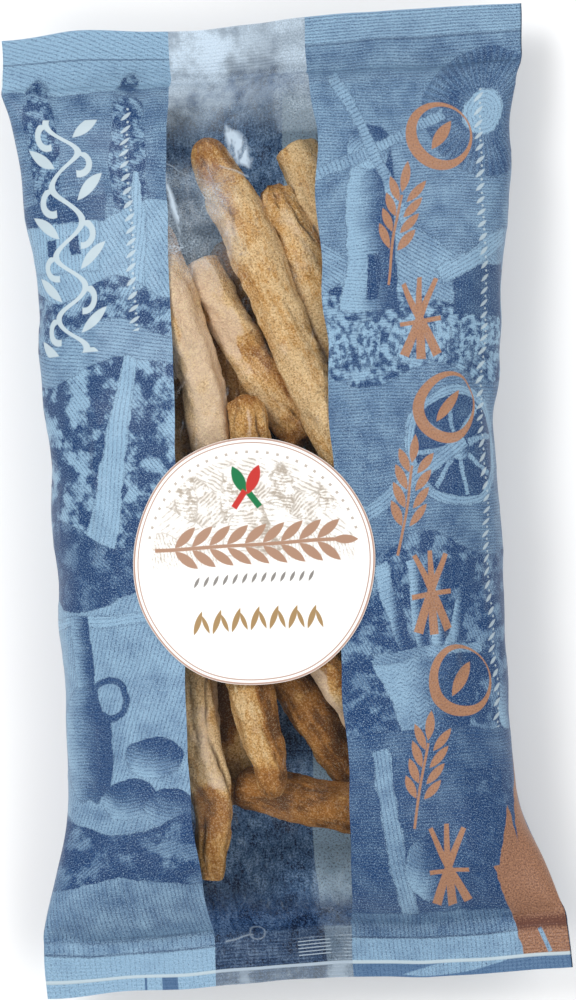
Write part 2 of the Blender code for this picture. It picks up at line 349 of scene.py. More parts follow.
def mark_share(mark, run, side, noise):
    """How far a mark covers places at run along the stick, in millimetres, and side across it."""
    kind, start, end, left, right, _ = mark
    if kind == "groove":
        t = np.clip((run - start) / (end - start), 0.0, 1.0)
        line = left + (right - left) * t + 0.14 * noise
        fade = np.clip(4 * (run - start) * (end - run) / (end - start) ** 2, 0.0, 1.0)
        return np.exp(-(((side - line) / 0.085) ** 2)) * np.sqrt(fade)
    run, side = run + 2.5 * noise, side + 0.22 * noise
    ends = ease(run, start - 1.5, start + 1.5) * (1 - ease(run, end - 2, end + 2))
    return ends * ease(side, left - 0.15, left + 0.15) * (1 - ease(side, right - 0.15, right + 0.15))


def stick_surface(stick, spacing, around):
    """Points, faces and point attributes of one stick: rings along the spine, closed at both ends."""
    rng = np.random.default_rng(100 + stick.seed)
    crowd = 0.006 / stick.length * (1 - np.cos(np.linspace(0.06, math.pi / 2, 9)))
    middle = np.linspace(crowd[-1], 1 - crowd[-1], max(int(stick.length / spacing), 20) + 1)
    s = np.concatenate([crowd[:-1], middle, 1 - crowd[-2::-1]])
    turn = np.arange(around) * 2 * math.pi / around
    S, T = np.meshgrid(s, turn, indexing="ij")
    R = S * stick.length
    x, y, z, radius = stick.places(s)

    shift = rng.uniform(0, 60, 8)
    swell = 0.075 * lattice_noise(R / 0.030 + shift[0], 0 * T, stick.seed)
    swell += 0.055 * lattice_noise(R / 0.012 + shift[1], 0 * T + 7, stick.seed + 1)
    ring_x, ring_y = np.cos(T) * 1.2, np.sin(T) * 1.2
    lumps = lattice_noise(R / 0.0070 + ring_x * 1.1, ring_y * 1.3 + shift[2], stick.seed + 2)
    ridges = lattice_noise(R / 0.022 + ring_x * 2.8, ring_y * 2.8 + shift[5], stick.seed + 5)
    lumps += 0.6 * lattice_noise(R / 0.0032 + ring_x * 2.6, ring_y * 2.6 + shift[3], stick.seed + 3)
    grains = lattice_noise(R / 0.0011, T * around / 12 + shift[4], stick.seed + 4)
    oval = 0.05 * np.cos(2 * (T - shift[5] - 2.5 * S))

    from_start, from_end = R, stick.length - R
    rough = 1.0
    jag = lattice_noise(ring_x * 2.4 + 9, ring_y * 2.4 + shift[6], stick.seed + 9)
    if stick.ends[0] == "broken":
        from_start = from_start - 0.0022 * (1 + jag) * np.exp(-R / 0.006)
        rough = rough + 1.8 * np.exp(-R / 0.006)
    if stick.ends[1] == "broken":
        from_end = from_end - 0.0022 * (1 + jag) * np.exp(-from_end / 0.006)
        rough = rough + 1.8 * np.exp(-from_end / 0.006)
    profile = end_share(from_start, radius[:, None], stick.ends[0])
    profile = profile * end_share(from_end, radius[:, None], stick.ends[1])

    side = -np.cos(T)
    looks = {"toast": stick.toast + 0 * R, "flour": stick.flour + 0 * R, "groove": 0 * R, "lump": 0 * R}
    patches = lattice_noise(R / 0.014 + ring_x, ring_y + shift[6], stick.seed + 7)
    # Raised lumps and ridges get less toast and hollows more: painted highlight and painted shade on the
    # relief.
    looks["toast"] += 0.22 * patches - 0.10 * lumps - 0.12 * ridges
    looks["toast"] += np.exp(-R / 0.006) * stick.end_toast[0]
    looks["toast"] += np.exp(-(stick.length - R) / 0.007) * stick.end_toast[1]
    looks["flour"] += 0.35 * lattice_noise(R / 0.022 + ring_x, ring_y + shift[7], stick.seed + 8)
    for index, mark in enumerate(stick.marks):
        noise = lattice_noise(R / 0.0045 + 5 * index, ring_x * 1.5 + 0 * R, stick.seed + 20 + index)
        share = mark_share(mark, R * 1000, side, noise)
        if mark[0] == "groove":
            looks["groove"] = np.maximum(looks["groove"], share * mark[5])
        else:
            looks[mark[0]] += share * mark[5]

    relief = 0.00056 * lumps + 0.00040 * ridges + 0.00014 * grains
    width = radius[:, None] * (1 + swell + oval) + relief * rough
    width = (width - 0.0011 * looks["groove"] + 0.0010 * looks["lump"]) * np.maximum(profile, 0.002)
    z = z + 0.0004 * lattice_noise(R[:, 0] / 0.03, 0 * R[:, 0], stick.seed + 6)
    spine = np.stack([x, y, z], axis=1)
    along = np.gradient(spine, axis=0)
    along /= np.linalg.norm(along, axis=1, keepdims=True)
    across = np.cross(along, (0.0, 0.0, 1.0))
    across /= np.linalg.norm(across, axis=1, keepdims=True)
    up = np.cross(across, along)
    points = (spine[:, None] + across[:, None] * (np.cos(T) * width)[..., None]
              + up[:, None] * (np.sin(T) * width)[..., None])

    rows = len(s)
    index = np.arange(rows * around).reshape(rows, around)
    after = np.roll(index, -1, axis=1)
    sides = np.stack([index[:-1], index[1:], after[1:], after[:-1]], axis=-1).reshape(-1, 4)
    faces = [tuple(int(i) for i in face) for face in sides]
    faces.append(tuple(int(i) for i in index[0]))
    faces.append(tuple(int(i) for i in index[-1, ::-1]))
    crust = np.stack([np.clip(looks["toast"], 0, 1.3), np.clip(looks["flour"], 0, 1.2),
                      looks["groove"]], axis=-1)
    grain = np.stack([R, T * radius[:, None], 0 * R + stick.seed], axis=-1)
    return points.reshape(-1, 3), faces, crust.reshape(-1, 3), grain.reshape(-1, 3)


def mesh_object(name, points, faces, materials=()):
    mesh = bpy.data.meshes.new(name)
    mesh.from_pydata([tuple(p) for p in points], [], faces)
    mesh.validate()
    for material in materials:
        mesh.materials.append(material)
    mesh.shade_smooth()
    obj = bpy.data.objects.new(name, mesh)
    bpy.context.scene.collection.objects.link(obj)
    return obj


def add_attribute(obj, name, values):
    attribute = obj.data.attributes.new(name, "FLOAT_VECTOR", "POINT")
    attribute.data.foreach_set("vector", np.asarray(values, np.float32).ravel())


def make_sticks(name, letters, spacing, around, material):
    """One mesh of the sticks with these letters."""
    parts, faces, crusts, grains, count = [], [], [], [], 0
    for stick in STICKS:
        if stick.name in letters:
            points, stick_faces, crust, grain = stick_surface(stick, spacing, around)
            faces += [tuple(i + count for i in face) for face in stick_faces]
            count += len(points)
            parts.append(points)
            crusts.append(crust)
            grains.append(grain)
    obj = mesh_object(name, np.concatenate(parts), faces, [material])
    add_attribute(obj, "crust", np.concatenate(crusts))
    add_attribute(obj, "grain", np.concatenate(grains))
    return obj


def stick_tops():
    """Heights of the highest stick surface over a grid of the table."""
    tops = np.full((int(PACK_LENGTH / CELL) + 1, int(FLAT_WIDTH / CELL) + 1), -1.0)
    for stick in STICKS:
        x, y, z = stick_surface(stick, 0.0008, 60)[0].T
        rows = ((y + PACK_LENGTH / 2) / CELL + 0.5).astype(int)
        columns = ((x + FLAT_WIDTH / 2) / CELL + 0.5).astype(int)
        np.maximum.at(tops, (rows, columns), z)
    # Each cell takes its neighbours' height too, so that the film keeps clear of the sticks' sides.
    for axis in (0, 1):
        tops = np.maximum(tops, np.maximum(np.roll(tops, 1, axis), np.roll(tops, -1, axis)))
    return tops


def sample_grid(grid, x, y):
    """Bilinear value of a grid over the table."""
    a = np.clip((x + FLAT_WIDTH / 2) / CELL, 0, grid.shape[1] - 1.001)
    b = np.clip((y + PACK_LENGTH / 2) / CELL, 0, grid.shape[0] - 1.001)
    ia, ib = a.astype(int), b.astype(int)
    fa, fb = a - ia, b - ib
    low = grid[ib, ia] * (1 - fa) + grid[ib, ia + 1] * fa
    high = grid[ib + 1, ia] * (1 - fa) + grid[ib + 1, ia + 1] * fa
    return low * (1 - fb) + high * fb


# ================================================================ film
def fin_wave(x, y):
    """The fins ripple, as pressed film does, and the ripple fades into the filled part."""
    phase = np.where(y > 0, 0.6, 2.2)
    return FIN_WAVE * np.sin(2 * math.pi * x / FLAT_WIDTH * 1.5 + phase) * (1 - fullness(y)) ** 2


def film_start():
    """The film before it is simulated, and the flat film it was made from, as rings of points."""
    flat_x = np.linspace(-FLAT_WIDTH / 2, FLAT_WIDTH / 2, SIM_ACROSS + 1)
    turn = np.sin(np.linspace(-math.pi / 2, math.pi / 2, 241))
    points, flat = [], []
    for y in np.linspace(-PACK_LENGTH / 2, PACK_LENGTH / 2, SIM_ROWS + 1):
        half_width = np.interp(y, WIDTH_ROWS, HALF_WIDTHS)
        x = half_width * turn
        front, back = section_heights(x, y, half_width)
        front_x, front_z = evenly_spaced(x, front, SIM_ACROSS)
        back_x, back_z = evenly_spaced(x, back, SIM_ACROSS)
        # The wavy top fin is a little narrower, and the right side has a dent beside the label.
        narrower = 1 - TOP_FIN_SHRINK * (1 - fullness(y)) * (y > 0)
        dent = DENT * math.exp(-(((y - DENT_Y) / DENT_REACH) ** 2))
        front_x, back_x = (side * narrower - dent * (side > 0) * np.abs(side / half_width) ** 4
                           for side in (front_x, back_x))
        lean = middle_line(y)
        for i in range(SIM_ACROSS + 1):
            points.append((front_x[i] + lean, y, front_z[i] + fin_wave(front_x[i], y) + HALF_LAYER))
            flat.append((flat_x[i], y, HALF_LAYER))
        for i in range(SIM_ACROSS - 1, 0, -1):
            points.append((back_x[i] + lean, y, back_z[i] + fin_wave(back_x[i], y) - HALF_LAYER))
            flat.append((flat_x[i], y, -HALF_LAYER))
    return np.array(points), np.array(flat)


CLOTH = {
    "quality": 6, "mass": 0.05, "tension_stiffness": 60, "compression_stiffness": 60,
    "shear_stiffness": 30, "bending_stiffness": 2, "tension_damping": 8, "compression_damping": 8,
    "shear_damping": 8, "bending_damping": 0.5, "air_damping": 2, "pin_stiffness": 1.0,
    "use_pressure": True, "uniform_pressure_force": 3,
}


def simulate_film(points, flat, hold):
    """Inflates the film a little with Blender's Cloth, so that it buckles where it has length to spare."""
    ring = 2 * SIM_ACROSS
    faces = []
    for row in range(SIM_ROWS):
        for i in range(ring):
            j = (i + 1) % ring
            a, b = row * ring, (row + 1) * ring
            faces.append((a + i, a + j, b + j, b + i))
    # A soft random ripple, so that the film has somewhere to buckle.
    rng = np.random.default_rng(3)
    ripple = rng.normal(0, 1, (SIM_ROWS + 1, ring, 3))
    for _ in range(12):
        ripple = (ripple + np.roll(ripple, 1, 0) + np.roll(ripple, -1, 0)
                  + np.roll(ripple, 1, 1) + np.roll(ripple, -1, 1)) / 5
    ripple *= RIPPLE / ripple.std()
    film = mesh_object("film_cloth", points + ripple.reshape(-1, 3), faces)
    film.shape_key_add(name="Basis")
    rest = film.shape_key_add(name="flat")
    rest.data.foreach_set("co", flat.astype(np.float32).ravel())
    rest.value = 0.0
    cloth = film.modifiers.new("Cloth", "CLOTH")
    settings = cloth.settings
    for name, value in CLOTH.items():
        setattr(settings, name, value)
    settings.effector_weights.gravity = 0
    settings.rest_shape_key = rest
    inner = [i for i in range(len(flat)) if BOTTOM_SEAL < flat[i][1] < TOP_SEAL]
    film.vertex_groups.new(name="pressure").add(inner, 1.0, "REPLACE")
    settings.vertex_group_pressure = "pressure"
    pins = film.vertex_groups.new(name="pin")
    for i, weight in enumerate(hold):
        pins.add([i], float(weight), "REPLACE")
    settings.vertex_group_mass = "pin"
    cloth.collision_settings.use_collision = False
    scene = bpy.context.scene
    scene.frame_start, scene.frame_end = 1, FRAMES
    cloth.point_cache.frame_start, cloth.point_cache.frame_end = 1, FRAMES
    for step in range(1, FRAMES + 1):
        scene.frame_set(step)
    result = film.evaluated_get(bpy.context.evaluated_depsgraph_get())
    moved = np.zeros(len(points) * 3, np.float32)
    result.data.vertices.foreach_get("co", moved)
    bpy.data.objects.remove(film, do_unlink=True)
    scene.frame_set(1)
    return moved.reshape(-1, 3).astype(float)


def blur(rings, times):
    """Smooths rings of points, along them and around them."""
    for _ in range(times):
        padded = np.concatenate([rings[:1], rings, rings[-1:]], axis=0)
        rings = (padded[:-2] + 2 * padded[1:-1] + padded[2:]) / 4
        rings = (np.roll(rings, 1, 1) + 2 * rings + np.roll(rings, -1, 1)) / 4
    return rings


class Film:
    """The film's shape: point(q, v) gives where any place of the flat film ends up."""

    def __init__(self, rings, tops):
        self.rings, self.tops = rings, tops
        self.label_q, self.label_v = self.find(LABEL_X, LABEL_Y)
        # The film is smooth under the label.
        soft = blur(rings, 14)
        q = np.arange(2 * SIM_ACROSS)[None, :] * STEP_Q
        v = (np.arange(SIM_ROWS + 1) * STEP_V - PACK_LENGTH / 2)[:, None]
        away = np.hypot(q - self.label_q, v - self.label_v)
        under = 1 - ease(away, LABEL_RADIUS * 0.97, LABEL_RADIUS * 1.2)
        self.rings = rings * (1 - under[..., None]) + soft * under[..., None]

    def base(self, q, v):
        """The simulated shape, as a smooth surface through its rings of points."""
        a = q / STEP_Q
        b = np.clip((v + PACK_LENGTH / 2) / STEP_V, 0, SIM_ROWS)
        ia, ib = np.floor(a).astype(int), np.minimum(np.floor(b).astype(int), SIM_ROWS - 1)
        wa, wb = cubic_weights(a - ia), cubic_weights(b - ib)
        out = np.zeros(q.shape + (3,))
        for m in range(4):
            row = np.clip(ib + m - 1, 0, SIM_ROWS)
            for n in range(4):
                column = (ia + n - 1) % (2 * SIM_ACROSS)
                out += (wa[..., n] * wb[..., m])[..., None] * self.rings[row, column]
        return out

    def find(self, x, y):
        """The flat coordinates of the front's place over a point of the table."""
        q, v = np.array([x + FLAT_WIDTH / 2]), np.array([y])
        for _ in range(12):
            here = self.base(q, v)
            q, v = q + (x - here[:, 0]), v + (y - here[:, 1])
        return float(q[0]), float(v[0])

    def wrinkle(self, q, v):
        """Fine relief of the film along its normal: crinkles, and folds that fan out from the seals."""
        front = q < FLAT_WIDTH
        u = np.where(front, q - FLAT_WIDTH / 2, 1.5 * FLAT_WIDTH - q)
        into = np.minimum(TOP_SEAL - v, v - BOTTOM_SEAL)
        body = ease(into, 0.0, 0.004)
        warp = 0.004 * lattice_noise(u / 0.021, v / 0.021, 41)
        creases = np.zeros_like(q)
        for pitch, depth, seed in ((0.016, 0.00022, 51), (0.0085, 0.00012, 52)):
            ridge = np.abs(lattice_noise((u + warp) / pitch + seed, (v - warp) / (1.7 * pitch) + seed, seed))
            creases += depth * np.exp(-ridge / 0.10)
        gather = np.exp(-np.maximum(into, 0) / 0.010) * body
        fan = 0.00045 * gather * np.sin(u / 0.0024 + 5 * lattice_noise(u / 0.012, v / 0.05, 43))
        away = np.hypot(q - self.label_q, v - self.label_v)
        open_film = ease(away, LABEL_RADIUS * 1.0, LABEL_RADIUS * 1.15)
        return (creases * body + fan) * open_film

    def rise(self, v):
        """Height that the ribs of the fins add, the same for both layers."""
        from_edge = PACK_LENGTH / 2 - np.abs(v)
        pressed = ease(CRIMP - from_edge, 0.0, 0.0012) * ease(from_edge, 0.0, 0.0008)
        return RIB_HEIGHT * pressed * np.sin(2 * math.pi * v / RIB_PITCH)

    def point(self, q, v):
        """The film's place with its wrinkles, fins and ribs, and clear of the sticks and the table."""
        step = 0.0008
        here = self.base(q, v)
        across = self.base(q + step, v) - self.base(q - step, v)
        along = self.base(q, v + step) - self.base(q, v - step)
        normal = np.cross(across, along)
        normal /= np.linalg.norm(normal, axis=-1, keepdims=True) + 1e-12
        here = here + normal * self.wrinkle(q, v)[..., None]
        pressed = ease(-np.minimum(TOP_SEAL - v, v - BOTTOM_SEAL), -0.0005, 0.0005)
        front = q <= FLAT_WIDTH
        # In the fins both layers follow their common middle.
        other = self.base(2 * FLAT_WIDTH - q, v)
        middle = (here + other) / 2
        here = here * (1 - pressed[..., None]) + middle * pressed[..., None]
        x, y = here[..., 0], here[..., 1]
        top = sample_grid(self.tops, x, y) + FILM_LIFT
        z = here[..., 2] + self.rise(v)
        z = np.where(front & (pressed < 0.5), np.maximum(z, top), z)
        gap = (FILM_THICKNESS + FILM_GAP / 2) * pressed
        z = z + np.where(front, gap, -gap)
        here[..., 2] = np.maximum(z, LOWEST_FILM)
        here[..., 1] += self.end_shape(x, v)
        return here

    def end_shape(self, x, v):
        """The ends aren't quite square: a small tilt and dip of the top, and a wave of the bottom."""
        top = 0.0011 * x / 0.07 - 0.0014 * np.exp(-(((x + 0.014) / 0.024) ** 2)) + 0.0002
        bottom = 0.0009 * np.cos(2 * math.pi * (x + 0.006) / 0.088) - 0.0003
        reach_top = ease(v, TOP_SEAL - 0.015, TOP_SEAL + 0.010)
        reach_bottom = ease(-v, TOP_SEAL - 0.015, TOP_SEAL + 0.010)
        return top * reach_top + bottom * reach_bottom

    def surface(self, q, v):
        """Points and outward normals of the outer face."""
        step = 0.00012
        here = self.point(q, v)
        # Kept on its own side of the left fold, where both layers of a fin meet.
        right, left = np.minimum(q + step, 2 * FLAT_WIDTH), np.maximum(q - step, 0.0)
        across = self.point(right, v) - self.point(left, v)
        along = self.point(q, v + step) - self.point(q, v - step)
        normal = np.cross(across, along)
        normal /= np.linalg.norm(normal, axis=-1, keepdims=True) + 1e-12
        return here, normal


def film_rows():
    """The rows of the film's meshes, close together in the fins for their ribs."""
    bottom = np.linspace(-PACK_LENGTH / 2, BOTTOM_SEAL, FIN_ROWS + 1)
    body = np.linspace(BOTTOM_SEAL, TOP_SEAL, BODY_ROWS + 1)
    top = np.linspace(TOP_SEAL, PACK_LENGTH / 2, FIN_ROWS + 1)
    return np.concatenate([bottom[:-1], body[:-1], top])


def window_edges(v):
    """Both edges of the clear window, as q."""
    full = fullness(v)
    left = WINDOW_LEFT_SEAL + (WINDOW_LEFT_FULL - WINDOW_LEFT_SEAL) * full
    right = WINDOW_RIGHT_SEAL + (WINDOW_RIGHT_FULL - WINDOW_RIGHT_SEAL) * full
    return left - bow(v) + FLAT_WIDTH / 2, right - bow(v) + FLAT_WIDTH / 2


def film_piece(film, name, start, end, columns, outer, inner, lift=0.0):
    """A two-sided sheet of the film between the edges start(v) and end(v)."""
    v = film_rows()
    share = np.linspace(0.0, 1.0, columns + 1)
    first, last = start(v), end(v)
    q = first[:, None] + (last - first)[:, None] * share[None, :]
    V = np.repeat(v[:, None], columns + 1, axis=1)
    points, normals = film.surface(q, V)
    points = points + normals * lift
    back = points - normals * FILM_THICKNESS
    rows, cols = q.shape
    count = rows * cols
    index = np.arange(count).reshape(rows, cols)
    quads = np.stack([index[:-1, :-1], index[:-1, 1:], index[1:, 1:], index[1:, :-1]], axis=-1).reshape(-1, 4)
    rim = np.concatenate([index[0, :], index[1:, -1], index[-1, -2::-1], index[-2:0:-1, 0]])
    rim_next = np.roll(rim, -1)
    edge = np.stack([rim, rim + count, rim_next + count, rim_next], axis=-1)
    # Both layers split their quads along the same diagonal, so they can't cross.
    faces = np.concatenate([quads, quads[:, [0, 3, 2, 1]] + count, edge])
    piece = mesh_object(name, np.concatenate([points.reshape(-1, 3), back.reshape(-1, 3)]),
                        [tuple(int(i) for i in face) for face in faces], [outer, inner])
    which = np.zeros(len(faces), np.int32)
    which[len(quads):2 * len(quads)] = 1
    piece.data.polygons.foreach_set("material_index", which)
    shading = np.concatenate([normals.reshape(-1, 3), -normals.reshape(-1, 3)])
    piece.data.normals_split_custom_set_from_vertices([tuple(n) for n in shading])
    flat = np.stack([q - FLAT_WIDTH / 2, V, 0 * V], axis=-1).reshape(-1, 3)
    add_attribute(piece, "flat", np.concatenate([flat, flat]))
    return piece


# ================================================================ materials
def connect(tree, value, socket):
    """Links a field or a place to a socket, or sets the socket's own value."""
    if isinstance(value, Output):
        tree.links.new(value.socket, socket)
    else:
        socket.default_value = value


def add_node(tree, kind, inputs, **settings):
    """A node of a material. Each input takes a value, a field or a place."""
    node = tree.nodes.new("ShaderNode" + kind)
    for name, value in settings.items():
        setattr(node, name, value)
    for key, value in inputs.items():
        connect(tree, value, node.inputs[key])
    return node


class Output:
    """What a node gives: the common part of fields and places."""

    def __init__(self, tree, socket):
        self.tree, self.socket = tree, socket

    def field(self, kind, inputs, output=0, **settings):
        return Field(self.tree, add_node(self.tree, kind, inputs, **settings).outputs[output])

    def place(self, kind, inputs, output=0, **settings):
        return Place(self.tree, add_node(self.tree, kind, inputs, **settings).outputs[output])


class Field(Output):
    """A number that varies over a surface. Arithmetic on fields adds Math nodes to the material."""

    def math(self, operation, *others, clamp=False):
        return self.field("Math", dict(enumerate((self, *others))), operation=operation, use_clamp=clamp)

    def __add__(self, other):
        return self.math("ADD", other)

    def __sub__(self, other):
        return self.math("SUBTRACT", other)

    def __mul__(self, other):
        return self.math("MULTIPLY", other)

    def __truediv__(self, other):
        return self.math("DIVIDE", other)

    def __neg__(self):
        return self * -1

    def __rsub__(self, other):
        return -self + other

    def __abs__(self):
        return self.math("ABSOLUTE")

    def either(self, other):
        return self.math("MINIMUM", other)

    def both(self, other):
        return self.math("MAXIMUM", other)

    def clamped(self):
        return self.math("ADD", 0.0, clamp=True)

    def sine(self):
        return self.math("SINE")

    def wrapped(self, size):
        """The field, brought within half a size on both sides of 0 by steps of the size."""
        return self.math("WRAP", size / 2, -size / 2)

    def step(self, start, end, low=0.0, high=1.0):
        """low at start and high at end, limited to that range, with a smooth change between them."""
        inputs = {"Value": self, "From Min": start, "From Max": end, "To Min": low, "To Max": high}
        return self.field("MapRange", inputs, interpolation_type="SMOOTHSTEP")

    def mix(self, other, share):
        """This field where share is 0, the other where it is 1."""
        return self.field("Mix", {"Factor": share, "A": self, "B": other})


class Place(Output):
    """Where a point is on a surface, as a vector, with the measures that shapes are made of."""

    def vector(self, operation, other):
        return self.place("VectorMath", {0: self, 1: other}, operation=operation)

    def scaled(self, factor):
        return self.place("VectorMath", {0: self, "Scale": factor}, operation="SCALE")

    def stretched(self, x, y, z=1.0):
        return self.vector("MULTIPLY", (x, y, z))

    def moved(self, x, y, z=0.0):
        return self.vector("SUBTRACT", (x, y, z))

    def added(self, other):
        return self.vector("ADD", other)

    def away(self, x, y):
        """Distance from a point."""
        return self.field("VectorMath", {0: self, 1: (x, y, 0.0)}, "Value", operation="DISTANCE")

    def along(self, angle, x=0.0, y=0.0):
        """Distance from a point in the direction of an angle in degrees."""
        a = math.radians(angle)
        way = (math.cos(a), math.sin(a), 0.0)
        run = self.field("VectorMath", {0: self, 1: way}, "Value", operation="DOT_PRODUCT")
        start = x * math.cos(a) + y * math.sin(a)
        return run - start if start else run

    def parts(self):
        node = add_node(self.tree, "SeparateXYZ", {0: self})
        return [Field(self.tree, output) for output in node.outputs]

    def noise(self, scale, detail=2.0, roughness=0.5):
        return self.field("TexNoise", noise_inputs(self, scale, detail, roughness))

    def cells(self, scale):
        return self.field("TexVoronoi", {"Vector": self, "Scale": scale}, "Distance")


def shader_output(tree, kind, inputs):
    return Output(tree, add_node(tree, kind, inputs).outputs[0])


def noise_inputs(place, scale, detail, roughness):
    return {"Vector": place, "Scale": scale, "Detail": detail, "Roughness": roughness}


def join_parts(tree, x, y):
    return Place(tree, add_node(tree, "CombineXYZ", {0: x, 1: y}).outputs[0])


def srgb(red, green, blue):
    """A colour as picked on screen, from 0 to 255, as the linear values that Blender takes."""
    linear = []
    for channel in (red, green, blue):
        c = channel / 255
        linear.append(c / 12.92 if c <= 0.04045 else ((c + 0.055) / 1.055) ** 2.4)
    return (*linear, 1.0)


class Paint:
    """A material under construction: a colour that is painted over step by step."""

    def __init__(self, name, roughness=0.5, specular=0.5):
        self.material = bpy.data.materials.new(name)
        self.material.use_nodes = True
        self.tree = self.material.node_tree
        self.shader = self.tree.nodes["Principled BSDF"]
        self.shader.inputs["Roughness"].default_value = roughness
        self.shader.inputs["Specular IOR Level"].default_value = specular
        self.colour = None

    def attribute(self, name):
        node = add_node(self.tree, "Attribute", {}, attribute_name=name)
        return Place(self.tree, node.outputs["Vector"])

    def position(self):
        return Place(self.tree, add_node(self.tree, "TexCoord", {}).outputs["Object"])

    def cover(self, colour, share, blend="MIX"):
        """Paints a colour over what is there, as far as share says."""
        if self.colour is None:
            self.colour = colour
            return
        # Inputs 6 and 7 of a Mix node are its two colours, and output 2 is the mixed one.
        inputs = {"Factor": share, 6: self.colour, 7: colour}
        node = add_node(self.tree, "Mix", inputs, data_type="RGBA", blend_type=blend)
        self.colour = Output(self.tree, node.outputs[2])

    def bump(self, height, strength, distance):
        inputs = {"Strength": strength, "Distance": distance, "Height": height}
        connect(self.tree, shader_output(self.tree, "Bump", inputs), self.shader.inputs["Normal"])

    def finish(self):
        connect(self.tree, self.colour, self.shader.inputs["Base Color"])
        return self.material


# The print's colours, and the distances in millimetres from the pack's middle to the lines across it.
PALE_BLUE, DARK_BLUE, INK_BLUE = srgb(138, 171, 196), srgb(16, 62, 110), srgb(6, 34, 74)
COPPER, DARK_COPPER, OFF_WHITE = srgb(168, 124, 94), srgb(92, 58, 48), srgb(180, 195, 202)
TOP_BAND, LOW_BAND = 120.5, 117.3  # where the paler bands at both ends start
WHITE_LINE = 124.1  # near the bottom edge


class Engraving:
    """An engraved picture in millimetres: toned and hatched shapes, laid one over another."""

    def __init__(self, paint, place, tone, angle, pitch):
        self.paint, self.place = paint, place
        self.ragged = place.noise(0.9, 3.0, 0.7) - 0.5
        self.phase, self.line = self.hatch(angle, pitch), None
        self.tone = Field(paint.tree, add_node(paint.tree, "Value", {}).outputs[0])
        self.tone.socket.default_value = tone

    def hatch(self, angle, pitch):
        return self.place.along(angle) * (2 * math.pi / pitch)

    def rings(self, x, y, pitch):
        return self.place.away(x, y) * (2 * math.pi / pitch)

    def rays(self, x, y, count):
        turn = self.place.along(90, x, y).math("ARCTAN2", self.place.along(0, x, y))
        return turn * count

    def lit(self, x, y, size, angle=0):
        """A tone that runs from dark to light across a shape, so that it looks round."""
        return self.place.along(angle, x, y).step(size, -size, 0.16, 0.86)

    def leaves(self, scale, dark=0.12, light=0.80):
        """A tone in clumps, as of foliage, straw or rough stone."""
        return self.place.noise(scale, 3.0, 0.6).step(0.40, 0.60, dark, light)

    def lay(self, distance, tone, phase, edge=0.24):
        """Lays a tone with its strokes where distance is negative, with an engraved line round it.

        The strokes are a field, or the angle and the pitch of a hatching.
        """
        if isinstance(phase, tuple):
            phase = self.hatch(*phase)
        distance = distance + self.ragged * 1.3
        inside = distance.math("MULTIPLY_ADD", -4.0, 0.5, clamp=True)
        self.tone = self.tone.mix(tone, inside)
        self.phase = self.phase.mix(phase, inside)
        border = abs(distance).step(edge * 1.8, edge * 0.3)
        if self.line is None:
            self.line = border
        else:
            self.line = (self.line * (1 - inside)).both(border)

    def ink(self):
        """Share of ink: broken strokes that thicken as the tone gets darker, crossed where it is darkest."""
        worn = self.ragged * 2.6
        stroke = (self.phase.sine() - self.tone * 2.3 + 1.2 + worn).math("MULTIPLY_ADD", 0.8, 0.5, clamp=True)
        cross = self.hatch(-37, 0.86).sine() - self.tone * 5.0 + 0.9 + worn
        return stroke.both(cross.clamped()).both(self.line * (self.ragged * 2.0 + 0.85))


def bar(place, x, y, angle, half_length, half_width, taper=0.0):
    """A straight bar with its middle at x, y, that narrows by taper per millimetre."""
    run = place.along(angle, x, y)
    width = abs(place.along(angle + 90, x, y)) - half_width
    if taper:
        width = width + run * taper
    return (abs(run) - half_length).both(width)


def leaf(place, x, y, angle, half_length, half_width):
    """A pointed leaf or grain: where two circles overlap."""
    radius = (half_length**2 + half_width**2) / (2 * half_width)
    offset = radius - half_width
    a = math.radians(angle + 90)
    dx, dy = offset * math.cos(a), offset * math.sin(a)
    return place.away(x + dx, y + dy).both(place.away(x - dx, y - dy)) - radius


def oval(place, x, y, half_length, half_width):
    """An upright ellipse, as a rough distance."""
    squeezed = place.moved(x, y).stretched(1 / half_width, 1 / half_length)
    return (squeezed.away(0, 0) - 1) * half_width


def union(shapes):
    result = shapes[0]
    for shape in shapes[1:]:
        result = result.either(shape)
    return result


def repeated(place, x=0.0, y=0.0):
    """The place within a pattern that repeats every x and y millimetres."""
    px, py = place.parts()[:2]
    return join_parts(place.tree, px.wrapped(x) if x else px, py.wrapped(y) if y else py)


def wobbly(place, size, scale):
    """The place, moved about by noise, so that what is drawn looks drawn by hand."""
    noise = place.place("TexNoise", noise_inputs(place, scale, 1.0, 0.5), "Color")
    return place.added(noise.moved(0.5, 0.5, 0.5).scaled(size))


